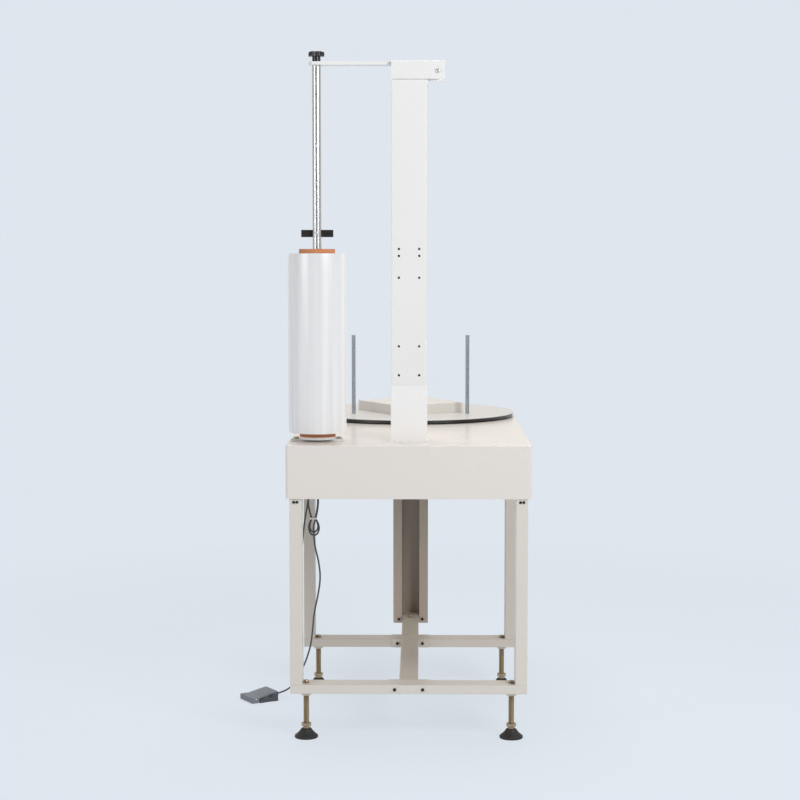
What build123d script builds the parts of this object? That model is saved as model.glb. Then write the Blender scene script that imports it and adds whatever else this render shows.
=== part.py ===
from build123d import *
import math
import os

# Turntable pallet wrapper: a waist-high sheet-metal table with a powered turntable, a mast, and a
# roll of stretch film that stands on a rod beside the mast.
# Millimetres. +Z is up. +X is to the right of somebody who faces the mast from its own side, and +Y
# points from the mast towards the turntable. The origin is on the floor, on the turntable's axis,
# at the centre of the sole of the foot that stands under that axis.

# ---------------------------------------------------------------- driving dimensions
# Table housing: a folded sheet-metal tray, upside down
table_width = 670.0
table_depth = 1100.0
table_top = 814.0
skirt_height = 146.0
sheet = 3.0
axis_to_skirt = 945.0           # from the skirt on the mast's side to the turntable's axis
housing_corner_radius = 8.0
housing_top_radius = 3.0

# Legs and bottom rails
leg_width = 33.0
leg_depth = 64.0
leg_wall = 3.0
leg_inset = 10.0                # skirt's side face to the leg's outer face
leg_setback = 4.0               # skirt's front face to the leg's front face
leg_pitch = 600.0               # front legs to rear legs
leg_screw_pitch = 9.0
leg_screw_drop = 9.0            # skirt's lower edge to the leg's two screws
leg_screw_length = 12.0
rail_bottom = 129.0
rail_height = 25.0
rail_wall = 2.5
tube_corner = 2.0               # outer corner radius of every square tube
plug_thickness = 3.0

# Spine between the rails, and the post under the turntable
spine_width = 53.0
cleat_width = 113.0
cleat_thickness = 4.0
cleat_bolt_pitch = 77.0
post_width = 113.0
post_depth = 60.0
post_wall = 3.0
post_lip = 28.0
post_setback = 975.0            # skirt to the post's open face
tray_width = 260.0
tray_thickness = 6.0
tray_drop = 120.0               # table's top face to the tray's top face
tray_overhang = 15.0            # tray's end past the post
beam_depth = 40.0
beam_height = 50.0
beam_wall = 3.0
bracket_wall = 5.0

# Levelling feet
foot_inset = 42.0               # leg's outer face to the foot's axis
stud_radius = 8.0
stud_tip = 161.0
stud_seat = 10.0
stud_point = 1.5
pad_radius = 32.5
centre_pad_radius = 25.0
pad_rim = 6.0
pad_top_radius = 14.0
pad_height = 26.0
foot_collar_radius = 10.0
foot_nut_base = 32.0
m16_across_flats = 24.0
m16_nut_height = 10.0

# Fasteners and fits
m4_radius = 2.0
m4_across_flats = 7.0
m4_head = 2.8
m5_radius = 2.5
m5_across_flats = 8.0
m5_head = 3.5
m5_nut = 4.0
m6_radius = 3.0
m6_across_flats = 10.0
m6_nut = 5.0
m8_radius = 4.0
m8_across_flats = 13.0
m8_head = 5.3
m8_nut = 6.5
hole_clearance = 0.2
running_clearance = 0.05
stud_clearance = 0.6

# Mast
mast_setback = 145.0            # skirt to the mast's centre
mast_width = 96.0
mast_depth = 64.0
mast_wall = 3.0
mast_rise = 1031.5              # the table's top face to the mast's top
mast_cut_clearance = 0.3
sleeve_wall = 2.3
sleeve_gap = 0.2
sleeve_height = 156.0
sleeve_lip = 3.0
sleeve_corner = 2.0
accessory_rises = (184.0, 264.0, 453.0, 513.0, 532.0)
accessory_pitch = 56.0
accessory_hole_radius = 3.25

# Arm
pivot_offset = 31.0             # mast's right face to the arm's pivot
pivot_drop = 15.0               # mast's top to the arm's pivot
cap_gap = 2.0                   # between the mast and each of the cap's sides
cap_wall = 3.0
cap_height = 49.0
cap_rise = 12.0                 # mast's top to the cap's top
cap_overhang = 18.6             # pivot to the cap's right end
cap_corner = 2.0
cap_reach = 1.0                 # mast's left face to the cap's left end
clevis_thickness = 5.0
clevis_radius = 15.0
clevis_web = 4.0
clevis_inset = 1.0              # mast's front face to the clevis's front face
clevis_tail = 22.0              # web's reach below the ears
pivot_head_radius = 6.5
pivot_head_height = 5.0
pivot_head_round = 3.0
bar_width = 45.0
bar_thickness = 9.0
tongue_length = 29.0
knob_hub_radius = 11.5
knob_hub_height = 15.5
knob_radius = 22.0
knob_height = 12.5
knob_lobes = 5
knob_scallop_circle = 25.5
knob_scallop_radius = 9.0
knob_lobe_round = 3.0
knob_top_round = 1.5
knob_screw_reach = 8.0

# Film roll and its rod
rod_offset = 255.0              # mast's centre to the rod
rod_radius = 12.0
rod_top_gap = 0.3
rod_bore_radius = 4.8
rod_bore_depth = 20.0
stop_rise = 575.0               # the table's top face to the stop bar's middle
spare_stop_rise = 815.0
stop_length = 89.0
stop_width = 20.0
stop_thickness = 5.0
stop_head_height = 4.0
stop_head_round = 2.5
plate_length = 146.0
plate_width = 30.0
plate_thickness = 5.0
plate_bolt_offset = 60.0
flange_radius = 51.0
flange_thickness = 7.0
core_radius = 50.0
core_bore = 38.0
core_length = 520.0
film_radius = 81.0
film_length = 496.0
spigot_height = 30.0
bush_height = 20.0
bush_recess = 5.0

# Turntable
disc_radius = 332.0
disc_thickness = 4.0
disc_gap = 11.0
disc_edge = 1.5
backing_radius = 328.0
backing_width = 30.0
backing_thickness = 7.5
platform_size = 250.0
platform_height = 32.0
platform_wall = 3.0
platform_corner = 4.0
platform_edge = 2.0
platform_turn = 30.0
pin_radius = 6.0
pin_height = 250.0
pin_circle = 208.0
pin_stub_radius = 5.0
pin_point = 1.0
hub_radius = 100.0
hub_gap = 1.0
neck_radius = 28.0
neck_clearance = 4.0
shaft_radius = 20.0
shaft_end_gap = 2.0
bearing_radius = 55.0
bearing_flange_radius = 75.0
bearing_flange = 10.0
bearing_drop = 58.0             # table's top face to the bearing's top

# Belt drive
motor_distance = 230.0
pulley_drop = 50.0              # table's top face to the pulleys' lower faces
pulley_height = 25.0
driven_radius = 80.0
drive_radius = 30.0
groove_depth = 8.0
groove_width = 11.0
belt_clearance = 0.5
drive_shaft_radius = 9.0
gearbox_size = 80.0
gearbox_height = 60.0
gearbox_corner = 6.0
gearbox_bore_depth = 12.0
drive_shaft_reach = 10.0        # how far the drive shaft goes into the gearbox
motor_radius = 29.0
motor_length = 150.0

# Control box on the far skirt
panel_width = 180.0
panel_height = 100.0
panel_depth = 30.0
panel_centre = -190.0
panel_edge = 3.0
rocker_shift = 66.0             # panel's centre to each control
button_shift = 30.0
dial_shift = -10.0
mushroom_shift = -58.0
rocker_width = 22.0
rocker_height = 28.0
rocker_throw = 8.0
rocker_rim = 5.0                # panel's face to the rocker's two ends
rocker_waist = 3.0
rocker_root = 4.0
rocker_pocket = 10.0
rocker_end_gap = 1.3
rocker_pin_radius = 1.5
rocker_pin_reach = 1.8          # rocker's side to its stub's end
rocker_pin_drop = 2.0           # panel's face to the stubs' axis
button_radius = 10.0
button_reach = 6.0
button_root = 9.0               # how far a button goes into the panel
button_round = 1.5
bore_depth = 16.0
mushroom_radius = 18.0
mushroom_height = 10.0
mushroom_round = 5.0
mushroom_stem_radius = 9.0
dial_radius = 13.0
dial_height = 12.0
dial_gap = 1.0
dial_edge = 1.5
pointer_size = 3.0
stem_radius = 4.0
stem_length = 14.0
slide_clearance = 0.3
inlet_reach = 6.0
inlet_width = 22.0
inlet_height = 32.0
inlet_wall = 3.0
inlet_floor = 1.0

# Foot pedal
pedal_x = -451.0
pedal_setback = 454.0
pedal_turn = 33.0
pedal_length = 88.0
pedal_width = 76.0
pedal_corner = 3.0
pedal_base_height = 9.0
pedal_toe_height = 19.0
pedal_heel_height = 31.0
pedal_nose = 5.0                # treadle's heel face below its top
pedal_heel_gap = 24.0           # floor to the treadle's lower heel edge
pedal_pivot_setback = 14.0      # toe to the pivot
pedal_pivot_height = 14.0
cheek_thickness = 3.0
cheek_rise = 3.5                # pivot to the cheek's top
heel_foot_length = 12.0
heel_foot_height = 5.0
heel_foot_reach = 2.0
heel_foot_width = 10.0
heel_block_length = 9.0
heel_block_width = 18.0
heel_block_height = 15.0
treadle_clearance = 0.5
treadle_lift = 1.5              # base's top to the treadle's lowest edge
pedal_pin_radius = 2.0
pedal_pin_head = 0.6
boot_length = 14.0
boot_height = 12.0
boot_walls = (2.0, 0.8)         # cord's surface to the boot's, at the heel and at the tip

# Pedal cable
cord_radius = 2.5
cord_setback = 420.0
gland_x = -322.0
gland_bottom = 664.0
gland_radius = 8.0
gland_height = 24.0
gland_across_flats = 17.0
gland_nut_height = 6.0
gland_nut_base = 2.0            # gland's lower end to its nut
bracket_thickness = 3.0
bracket_rise = 26.0             # skirt's lower edge to the bracket's top
bracket_drop = 7.0              # peg to the bracket's lower edge
bracket_setback = 12.0          # cord's plane to the bracket's face
bracket_reach = 10.0            # peg to the bracket's free edge
tab_reach = 14.0                # gland's axis to the tab's free edge
peg_radius = 2.0
peg_length = 23.0
peg_gap = 0.5
hank_thickness = 15.0
upper_loop = (16.5, 43.5)       # half width and half height of the hank's upper loop
lower_loop = (18.0, 26.0)
upper_centre = (-285.5, 598.0)  # x and z
lower_centre = (-283.0, 529.0)
loop_band = 6.5
waist_half = 8.5
tie_width = 5.0
tie_thickness = 1.5

# ---------------------------------------------------------------- derived places
skirt_y = -axis_to_skirt
skirt_bottom = table_top - skirt_height
underside = table_top - sheet
leg_outer = table_width / 2 - leg_inset
leg_inner = leg_outer - leg_width
front_leg_y = skirt_y + leg_setback
rear_leg_y = front_leg_y + leg_pitch
rail_top = rail_bottom + rail_height
mast_top = table_top + mast_rise
pivot_height = mast_top - pivot_drop
cap_top = mast_top + cap_rise
stop_height = table_top + stop_rise
spare_stop_height = table_top + spare_stop_rise
tray_top = table_top - tray_drop
bearing_top = table_top - bearing_drop
pulley_base = table_top - pulley_drop
rail_middle = rail_bottom + rail_height / 2
foot_x = leg_outer - foot_inset
foot_shift = leg_depth / 2
foot_places = (
    (-foot_x, front_leg_y + foot_shift),
    (foot_x, front_leg_y + foot_shift),
    (-foot_x, rear_leg_y + foot_shift),
    (foot_x, rear_leg_y + foot_shift),
    (0.0, 0.0),
)
post_y = skirt_y + post_setback
tray_bottom = tray_top - tray_thickness
front_beam_y = front_leg_y + (leg_depth - beam_depth) / 2
rear_beam_y = front_beam_y + leg_pitch
mast_y = skirt_y + mast_setback
pivot_x = mast_width / 2 + pivot_offset
cap_half = mast_depth / 2 + cap_gap + cap_wall
bar_bottom = cap_top - bar_thickness
rod_x = -rod_offset
flange_base = table_top + plate_thickness
core_base = flange_base + flange_thickness
film_base = core_base + (core_length - film_length) / 2
disc_base = table_top + disc_gap
disc_top = disc_base + disc_thickness
groove_base = pulley_base + (pulley_height - groove_width) / 2
panel_y = skirt_y + table_depth
panel_face = panel_y + panel_depth
panel_middle = table_top - skirt_height / 2
cord_y = skirt_y + cord_setback
cap_end = -mast_width / 2 - cap_reach
rocker_x = panel_centre + rocker_shift
button_x = panel_centre + button_shift
dial_x = panel_centre + dial_shift
mushroom_x = panel_centre + mushroom_shift


# ---------------------------------------------------------------- shapes used more than once
def block(x, y, z):
    """A box between two values on each axis."""
    centre = [(low + high) / 2 for low, high in (x, y, z)]
    return Pos(*centre) * Box(x[1] - x[0], y[1] - y[0], z[1] - z[0])


def bar(radius, start, end):
    """A round bar from one point to another."""
    start = Vector(*start)
    reach = Vector(*end) - start
    plane = Plane(origin=start, z_dir=reach)
    return plane * Cylinder(radius, reach.length, align=(Align.CENTER, Align.CENTER, Align.MIN))


def hexagon(across_flats, height, start, direction):
    """A hexagonal head or nut that stands on a point."""
    outline = RegularPolygon(across_flats / 2 / math.cos(math.pi / 6), 6)
    return Plane(origin=start, z_dir=direction) * extrude(outline, height)


def square_tube(x, y, z, wall, along):
    """A rectangular tube that is open at both ends, with its outer corners rounded."""
    inner = {"x": x, "y": y, "z": z}
    for name in inner:
        if name != along:
            low, high = inner[name]
            inner[name] = (low + wall, high - wall)
    length_axis = {"x": Axis.X, "y": Axis.Y, "z": Axis.Z}[along]
    outer = fillet(block(x, y, z).edges().filter_by(length_axis), tube_corner)
    return outer - block(inner["x"], inner["y"], inner["z"])


def screw(radius, across_flats, head, start, end, nut):
    """A hexagon screw: its head stands outside start, its shank ends at end, and nut is a height."""
    inward = Vector(*end) - Vector(*start)
    solids = [bar(radius, start, end) + hexagon(across_flats, head, start, inward * -1)]
    if nut:
        tip = Vector(*end) - inward.normalized() * nut
        blank = hexagon(across_flats, nut, tip, inward)
        solids.append(blank - bar(radius, start, end))
    return solids


# ---------------------------------------------------------------- table and frame
def table_housing():
    """Top and four skirts in one folded sheet, open below, with the cut-outs in its top."""
    far_y = skirt_y + table_depth
    outer = block((-table_width / 2, table_width / 2), (skirt_y, far_y), (skirt_bottom, table_top))
    outer = fillet(outer.edges().filter_by(Axis.Z), housing_corner_radius)
    outer = fillet(outer.faces().sort_by(Axis.Z)[-1].edges(), housing_top_radius)
    inner = block(
        (-table_width / 2 + sheet, table_width / 2 - sheet),
        (skirt_y + sheet, far_y - sheet),
        (skirt_bottom, underside),
    )
    inner = fillet(inner.edges().filter_by(Axis.Z), housing_corner_radius - sheet)
    body = outer - inner
    cut_x = mast_width / 2 + mast_cut_clearance
    cut_y = mast_depth / 2 + mast_cut_clearance
    body -= block((-cut_x, cut_x), (mast_y - cut_y, mast_y + cut_y), (underside, table_top))
    body -= bar(neck_radius + neck_clearance, (0, 0, underside), (0, 0, table_top))
    for side in (-1, 1):
        x = rod_x + side * plate_bolt_offset
        body -= bar(m8_radius + hole_clearance, (x, mast_y, underside), (x, mast_y, table_top))
    return body


def leg_screw_places(side, y):
    """Where the two screws at the top of a leg enter its outer face."""
    centre = side * (leg_inner + leg_outer) / 2
    z = skirt_bottom - leg_screw_drop
    return [(centre + shift, y, z) for shift in (-leg_screw_pitch / 2, leg_screw_pitch / 2)]


def leg(side, front):
    """A rectangular tube from the rail to the underside of the table."""
    y = front_leg_y if front else rear_leg_y
    x = sorted((side * leg_inner, side * leg_outer))
    body = square_tube(x, (y, y + leg_depth), (rail_top, underside), leg_wall, "z")
    for place in leg_screw_places(side, y):
        body -= bar(m4_radius + hole_clearance, place, (place[0], y + leg_wall, place[2]))
    return body


def rail(y):
    """A bottom rail with a plug in each end, bored for two studs and two cleat bolts."""
    far = y + leg_depth
    body = square_tube((-leg_outer, leg_outer), (y, far), (rail_bottom, rail_top), rail_wall, "x")
    for side in (-1, 1):
        stud = (side * foot_x, y + foot_shift)
        body -= bar(stud_radius + stud_clearance, (*stud, rail_bottom), (*stud, rail_top))
        x = side * cleat_bolt_pitch / 2
        body -= bar(m5_radius + hole_clearance, (x, y, rail_middle), (x, far, rail_middle))
    solids = [body]
    for side in (-1, 1):
        x = sorted((side * leg_outer, side * (leg_outer - plug_thickness)))
        inside = (y + rail_wall, far - rail_wall)
        solids.append(block(x, inside, (rail_bottom + rail_wall, rail_top - rail_wall)))
    return solids


def spine(start, end):
    """A length of the centre tube, level with the rails."""
    half = spine_width / 2
    return square_tube((-half, half), (start, end), (rail_bottom, rail_top), rail_wall, "y")


def spine_rear():
    """The spine's second length, which ends inside the post and carries the centre foot."""
    start = rear_leg_y + leg_depth + cleat_thickness
    body = spine(start, post_y + post_depth - post_wall)
    return body - bar(stud_radius + stud_clearance, (0, 0, rail_bottom), (0, 0, rail_top))


def cleat(x, y):
    """A plate welded to the spine and drilled for the bolts that pass through it."""
    body = block(x, (y, y + cleat_thickness), (rail_bottom, rail_top))
    for side in (-1, 1):
        bolt = side * cleat_bolt_pitch / 2
        if x[0] < bolt < x[1]:
            start = (bolt, y, rail_middle)
            body -= bar(m5_radius + hole_clearance, start, (bolt, y + cleat_thickness, rail_middle))
    return body


def spine_cleats():
    """Three full plates at the rails, and a tab each side behind the post's lips."""
    half = cleat_width / 2
    places = (front_leg_y + leg_depth, rear_leg_y - cleat_thickness, rear_leg_y + leg_depth)
    solids = [cleat((-half, half), y) for y in places]
    tab = (spine_width / 2, post_width / 2 - post_wall)
    solids.append(cleat(tab, post_y + post_wall))
    solids.append(cleat((-tab[1], -tab[0]), post_y + post_wall))
    return solids


def far_post():
    """A lipped channel, open towards the mast, from the spine's end up to the drive tray."""
    half = post_width / 2
    wide = half - post_wall
    slot = half - post_lip
    far = post_y + post_depth
    lip_back = post_y + post_wall
    z = (rail_bottom, tray_bottom)
    body = block((-half, half), (post_y, far), z)
    body -= block((-wide, wide), (lip_back, far - post_wall), z)
    body -= block((-slot, slot), (post_y, lip_back), z)
    for side in (-1, 1):
        x = side * cleat_bolt_pitch / 2
        body -= bar(m5_radius + hole_clearance, (x, post_y, rail_middle), (x, lip_back, rail_middle))
    return body


def cross_beams():
    """Beams between the legs, the mast's bracket, and the tray that carries the drive."""
    x = (-leg_inner, leg_inner)
    front_top = (underside - beam_height, underside)
    front = square_tube(x, (front_beam_y, front_beam_y + beam_depth), front_top, beam_wall, "x")
    rear_z = (tray_top, tray_top + beam_height)
    rear = square_tube(x, (rear_beam_y, rear_beam_y + beam_depth), rear_z, beam_wall, "x")
    half = mast_width / 2
    bracket_y = (front_beam_y + beam_depth, mast_y - mast_depth / 2)
    bracket = square_tube((-half, half), bracket_y, front_top, bracket_wall, "z")
    tray_y = (rear_beam_y, post_y + post_depth + tray_overhang)
    tray = block((-tray_width / 2, tray_width / 2), tray_y, (tray_bottom, tray_top))
    return [front, rear, bracket, tray]


def cleat_screw(x, start, grip):
    """A screw along Y through everything within its grip, with its nut."""
    end = (x, start + grip + m5_nut, rail_middle)
    return screw(m5_radius, m5_across_flats, m5_head, (x, start, rail_middle), end, m5_nut)


def frame_bolts():
    """All the fasteners of the frame, one solid each."""
    solids = []
    for side in (-1, 1):
        for y in (front_leg_y, rear_leg_y):
            for place in leg_screw_places(side, y):
                end = (place[0], y + leg_screw_length, place[2])
                solids += screw(m4_radius, m4_across_flats, m4_head, place, end, 0)
        x = side * cleat_bolt_pitch / 2
        solids += cleat_screw(x, front_leg_y, leg_depth + cleat_thickness)
        solids += cleat_screw(x, rear_leg_y - cleat_thickness, leg_depth + 2 * cleat_thickness)
        solids += cleat_screw(x, post_y, post_wall + cleat_thickness)
        x = rod_x + side * plate_bolt_offset
        start = (x, mast_y, flange_base)
        end = (x, mast_y, underside - m8_nut)
        solids += screw(m8_radius, m8_across_flats, m8_head, start, end, m8_nut)
    low = rail_bottom - m16_nut_height
    for x, y in foot_places:
        nut = hexagon(m16_across_flats, m16_nut_height, (x, y, rail_bottom), (0, 0, -1))
        solids.append(nut - bar(stud_radius + running_clearance, (x, y, low), (x, y, rail_bottom)))
    return solids


# ---------------------------------------------------------------- levelling feet
def foot_stud(place):
    """Threaded stud with the nut and collar that turn it."""
    x, y = place
    stud = bar(stud_radius, (x, y, stud_seat), (x, y, stud_tip))
    stud = chamfer(stud.faces().sort_by(Axis.Z)[-1].edges(), stud_point)
    collar = bar(foot_collar_radius, (x, y, pad_height), (x, y, foot_nut_base))
    nut = collar + hexagon(m16_across_flats, m16_nut_height, (x, y, foot_nut_base), (0, 0, 1))
    nut_top = foot_nut_base + m16_nut_height
    return [stud, nut - bar(stud_radius, (x, y, pad_height), (x, y, nut_top))]


def foot_pad(place, radius):
    """Rubber cone on a low rim, with the stud's seat in it."""
    x, y = place
    rim = bar(radius, (x, y, 0), (x, y, pad_rim))
    cone = Pos(x, y, pad_rim) * Cone(
        radius, pad_top_radius, pad_height - pad_rim, align=(Align.CENTER, Align.CENTER, Align.MIN)
    )
    return rim + cone - bar(stud_radius, (x, y, stud_seat), (x, y, pad_height))


# ---------------------------------------------------------------- mast and arm
def mast_tube():
    """Rectangular tube through the table's top, with the accessory holes in its front."""
    x = (-mast_width / 2, mast_width / 2)
    y = (mast_y - mast_depth / 2, mast_y + mast_depth / 2)
    body = square_tube(x, y, (tray_top, mast_top), mast_wall, "z")
    for rise in accessory_rises:
        z = table_top + rise
        for side in (-1, 1):
            hole = side * accessory_pitch / 2
            body -= bar(accessory_hole_radius, (hole, y[0], z), (hole, y[0] + mast_wall, z))
    return body


def mast_sleeve():
    """Cover round the foot of the mast, with a small lip on the table."""
    inner_x = mast_width / 2 + sleeve_gap
    inner_y = mast_depth / 2 + sleeve_gap
    x = inner_x + sleeve_wall
    y = inner_y + sleeve_wall
    z = (table_top, table_top + sleeve_height)
    body = block((-x, x), (mast_y - y, mast_y + y), z)
    body = fillet(body.edges().filter_by(Axis.Z), sleeve_corner)
    lip_x = x + sleeve_lip
    lip_y = y + sleeve_lip
    lip_z = (table_top, table_top + sleeve_lip)
    body += block((-lip_x, lip_x), (mast_y - lip_y, mast_y + lip_y), lip_z)
    return body - block((-inner_x, inner_x), (mast_y - inner_y, mast_y + inner_y), z)


def mast_clevis():
    """U-shaped bracket on the mast's right face that holds the arm's pivot bolt."""
    face = mast_width / 2
    outer = mast_depth / 2 - clevis_inset
    low = pivot_height - clevis_radius
    web_z = (low - clevis_tail, mast_top)
    body = block((face, face + clevis_web), (mast_y - outer, mast_y + outer), web_z)
    for side in (-1, 1):
        y = sorted((mast_y + side * outer, mast_y + side * (outer - clevis_thickness)))
        body += block((face, pivot_x), y, (low, low + 2 * clevis_radius))
        body += bar(clevis_radius, (pivot_x, y[0], pivot_height), (pivot_x, y[1], pivot_height))
    front = (pivot_x, mast_y - outer, pivot_height)
    back = (pivot_x, mast_y + outer, pivot_height)
    return body - bar(m8_radius, front, back)


def arm_pivot_bolt():
    """Round-headed bolt through the cap and the clevis, with its nut."""
    reach = cap_half + hole_clearance
    front = (pivot_x, mast_y - reach, pivot_height)
    back = (pivot_x, mast_y + reach + m8_nut, pivot_height)
    shank = bar(m8_radius, front, back)
    head = bar(pivot_head_radius, front, (pivot_x, front[1] - pivot_head_height, pivot_height))
    head = fillet(head.faces().sort_by(Axis.Y)[0].edges(), pivot_head_round)
    nut = hexagon(m8_across_flats, m8_nut, (pivot_x, mast_y + reach, pivot_height), (0, 1, 0))
    return [shank + head, nut - shank]


def arm_cap():
    """Channel, open below, that sits over the top of the mast and turns about the pivot."""
    x = (cap_end, pivot_x + cap_overhang)
    inner = cap_half - cap_wall
    z = (cap_top - cap_height, cap_top)
    body = block(x, (mast_y - cap_half, mast_y + cap_half), z)
    body = fillet(body.edges().filter_by(Axis.X).group_by(Axis.Z)[-1], cap_corner)
    body -= block(x, (mast_y - inner, mast_y + inner), (z[0], cap_top - cap_wall))
    front = (pivot_x, mast_y - cap_half, pivot_height)
    back = (pivot_x, mast_y + cap_half, pivot_height)
    return body - bar(m8_radius + running_clearance, front, back)


def arm_bar():
    """Flat bar from the cap to the film rod, with a tongue welded under the cap's top."""
    half = bar_width / 2
    y = (mast_y - half, mast_y + half)
    low = (rod_x, mast_y, bar_bottom)
    high = (rod_x, mast_y, cap_top)
    body = block((rod_x, cap_end), y, (bar_bottom, cap_top)) + bar(half, low, high)
    body += block((cap_end, cap_end + tongue_length), y, (bar_bottom, cap_top - cap_wall))
    return body - bar(m8_radius + running_clearance, low, high)


def lock_knob():
    """Lobed hand knob with its screw, which reaches down into the rod's top."""
    base = (rod_x, mast_y, cap_top)
    head_base = cap_top + knob_hub_height
    hub = bar(knob_hub_radius, base, (rod_x, mast_y, head_base))
    head = bar(knob_radius, (rod_x, mast_y, head_base), (rod_x, mast_y, head_base + knob_height))
    for index in range(knob_lobes):
        angle = math.radians(90 + (index + 0.5) * 360 / knob_lobes)
        x = rod_x + knob_scallop_circle * math.cos(angle)
        y = mast_y + knob_scallop_circle * math.sin(angle)
        head -= bar(knob_scallop_radius, (x, y, head_base), (x, y, head_base + knob_height))
    head = fillet(head.edges().filter_by(Axis.Z), knob_lobe_round)
    head = fillet(head.faces().sort_by(Axis.Z)[-1].edges(), knob_top_round)
    tip = cap_top - bar_thickness - rod_top_gap - knob_screw_reach
    return hub + head + bar(m8_radius, base, (rod_x, mast_y, tip))


# ---------------------------------------------------------------- film roll
def film_rod():
    """Plated rod from the table to the arm, bored at its top and cross-drilled for the stop bar."""
    top = bar_bottom - rod_top_gap
    body = bar(rod_radius, (rod_x, mast_y, table_top), (rod_x, mast_y, top))
    body -= bar(rod_bore_radius, (rod_x, mast_y, top - rod_bore_depth), (rod_x, mast_y, top))
    for z in (stop_height, spare_stop_height):
        start = (rod_x, mast_y - rod_radius, z)
        body -= bar(m6_radius + hole_clearance, start, (rod_x, mast_y + rod_radius, z))
    return body


def roll_base_plate():
    """Flat bar on the table that locates the rod and takes two bolts."""
    x = (rod_x - plate_length / 2, rod_x + plate_length / 2)
    y = (mast_y - plate_width / 2, mast_y + plate_width / 2)
    body = block(x, y, (table_top, flange_base))
    body -= bar(rod_radius, (rod_x, mast_y, table_top), (rod_x, mast_y, flange_base))
    for side in (-1, 1):
        hole = rod_x + side * plate_bolt_offset
        body -= bar(m8_radius + hole_clearance, (hole, mast_y, table_top), (hole, mast_y, flange_base))
    return body


def roll_sleeve(outer, inner, low, high):
    """A ring about the rod."""
    ring = bar(outer, (rod_x, mast_y, low), (rod_x, mast_y, high))
    return ring - bar(inner, (rod_x, mast_y, low), (rod_x, mast_y, high))


def roll_flange():
    """Turning flange under the core, with a spigot that centres it."""
    bore = rod_radius + running_clearance
    flange = roll_sleeve(flange_radius, bore, flange_base, core_base)
    return flange + roll_sleeve(core_bore, bore, core_base, core_base + spigot_height)


def core_bush():
    """Bush inside the top of the core."""
    top = core_base + core_length - bush_recess
    return roll_sleeve(core_bore, rod_radius + running_clearance, top - bush_height, top)


def stop_bar():
    """Flat bar behind the rod that keeps the roll from climbing."""
    y = mast_y + rod_radius
    half = stop_width / 2
    x = (rod_x - stop_length / 2, rod_x + stop_length / 2)
    body = block(x, (y, y + stop_thickness), (stop_height - half, stop_height + half))
    hole = ((rod_x, y, stop_height), (rod_x, y + stop_thickness, stop_height))
    return body - bar(m6_radius + hole_clearance, *hole)


def stop_screw():
    """Domed screw through the rod and the stop bar, with its nut."""
    front = (rod_x, mast_y - rod_radius, stop_height)
    back = (rod_x, mast_y + rod_radius + stop_thickness, stop_height)
    end = (rod_x, back[1] + m6_nut, stop_height)
    shank = bar(m6_radius, front, end)
    head = bar(2 * m6_radius, front, (rod_x, front[1] - stop_head_height, stop_height))
    head = fillet(head.faces().sort_by(Axis.Y)[0].edges(), stop_head_round)
    nut = hexagon(m6_across_flats, m6_nut, back, (0, 1, 0))
    return [shank + head, nut - shank]


# ---------------------------------------------------------------- turntable and drive
def pin_places():
    """Where the three locating pins stand, one of them straight behind the axis."""
    for angle in (90, 210, 330):
        turn = math.radians(angle)
        yield pin_circle * math.cos(turn), pin_circle * math.sin(turn)


def turntable_disc():
    """Round plate with three holes for the pins, and the stiffening ring under its rim."""
    body = bar(disc_radius, (0, 0, disc_base), (0, 0, disc_top))
    body = fillet(body.edges(), disc_edge)
    for x, y in pin_places():
        body -= bar(pin_stub_radius, (x, y, disc_base), (x, y, disc_top))
    ring_base = disc_base - backing_thickness
    ring = bar(backing_radius, (0, 0, ring_base), (0, 0, disc_base))
    ring -= bar(backing_radius - backing_width, (0, 0, ring_base), (0, 0, disc_base))
    return [body, ring]


def turntable_hub():
    """Flange, neck and shaft turned in one piece."""
    neck_base = pulley_base + pulley_height
    body = bar(hub_radius, (0, 0, table_top + hub_gap), (0, 0, disc_base))
    body += bar(neck_radius, (0, 0, neck_base), (0, 0, table_top + hub_gap))
    return body + bar(shaft_radius, (0, 0, tray_top + shaft_end_gap), (0, 0, neck_base))


def load_platform():
    """Square sheet-metal box, open below, on the middle of the disc."""
    half = platform_size / 2
    top = disc_top + platform_height
    body = block((-half, half), (-half, half), (disc_top, top))
    body = fillet(body.edges().filter_by(Axis.Z), platform_corner)
    body = fillet(body.faces().sort_by(Axis.Z)[-1].edges(), platform_edge)
    inside = half - platform_wall
    body -= block((-inside, inside), (-inside, inside), (disc_top, top - platform_wall))
    return Rot(0, 0, platform_turn) * body


def locating_pins():
    """Three plated pins that keep a load from sliding off, each with a stub in the disc."""
    solids = []
    for x, y in pin_places():
        pin = bar(pin_radius, (x, y, disc_top), (x, y, disc_top + pin_height))
        pin = chamfer(pin.faces().sort_by(Axis.Z)[-1].edges(), pin_point)
        solids.append(pin + bar(pin_stub_radius, (x, y, disc_base), (x, y, disc_top)))
    return solids


def bearing_housing():
    """Flanged plain bearing on the tray."""
    body = bar(bearing_flange_radius, (0, 0, tray_top), (0, 0, tray_top + bearing_flange))
    body += bar(bearing_radius, (0, 0, tray_top), (0, 0, bearing_top))
    return body - bar(shaft_radius + running_clearance, (0, 0, tray_top), (0, 0, bearing_top))


def pulley(y, radius, shaft):
    """Flat-bottomed belt pulley."""
    top = pulley_base + pulley_height
    body = bar(radius, (0, y, pulley_base), (0, y, top))
    groove = bar(radius, (0, y, groove_base), (0, y, groove_base + groove_width))
    groove -= bar(radius - groove_depth, (0, y, groove_base), (0, y, groove_base + groove_width))
    body -= groove
    if shaft:
        body -= bar(shaft, (0, y, pulley_base), (0, y, top))
    return body


def drive_pulley():
    """Small pulley and the gearbox shaft it turns with."""
    y = -motor_distance
    start = (0, y, tray_top + gearbox_height - drive_shaft_reach)
    return pulley(y, drive_radius, 0) + bar(drive_shaft_radius, start, (0, y, pulley_base))


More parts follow.
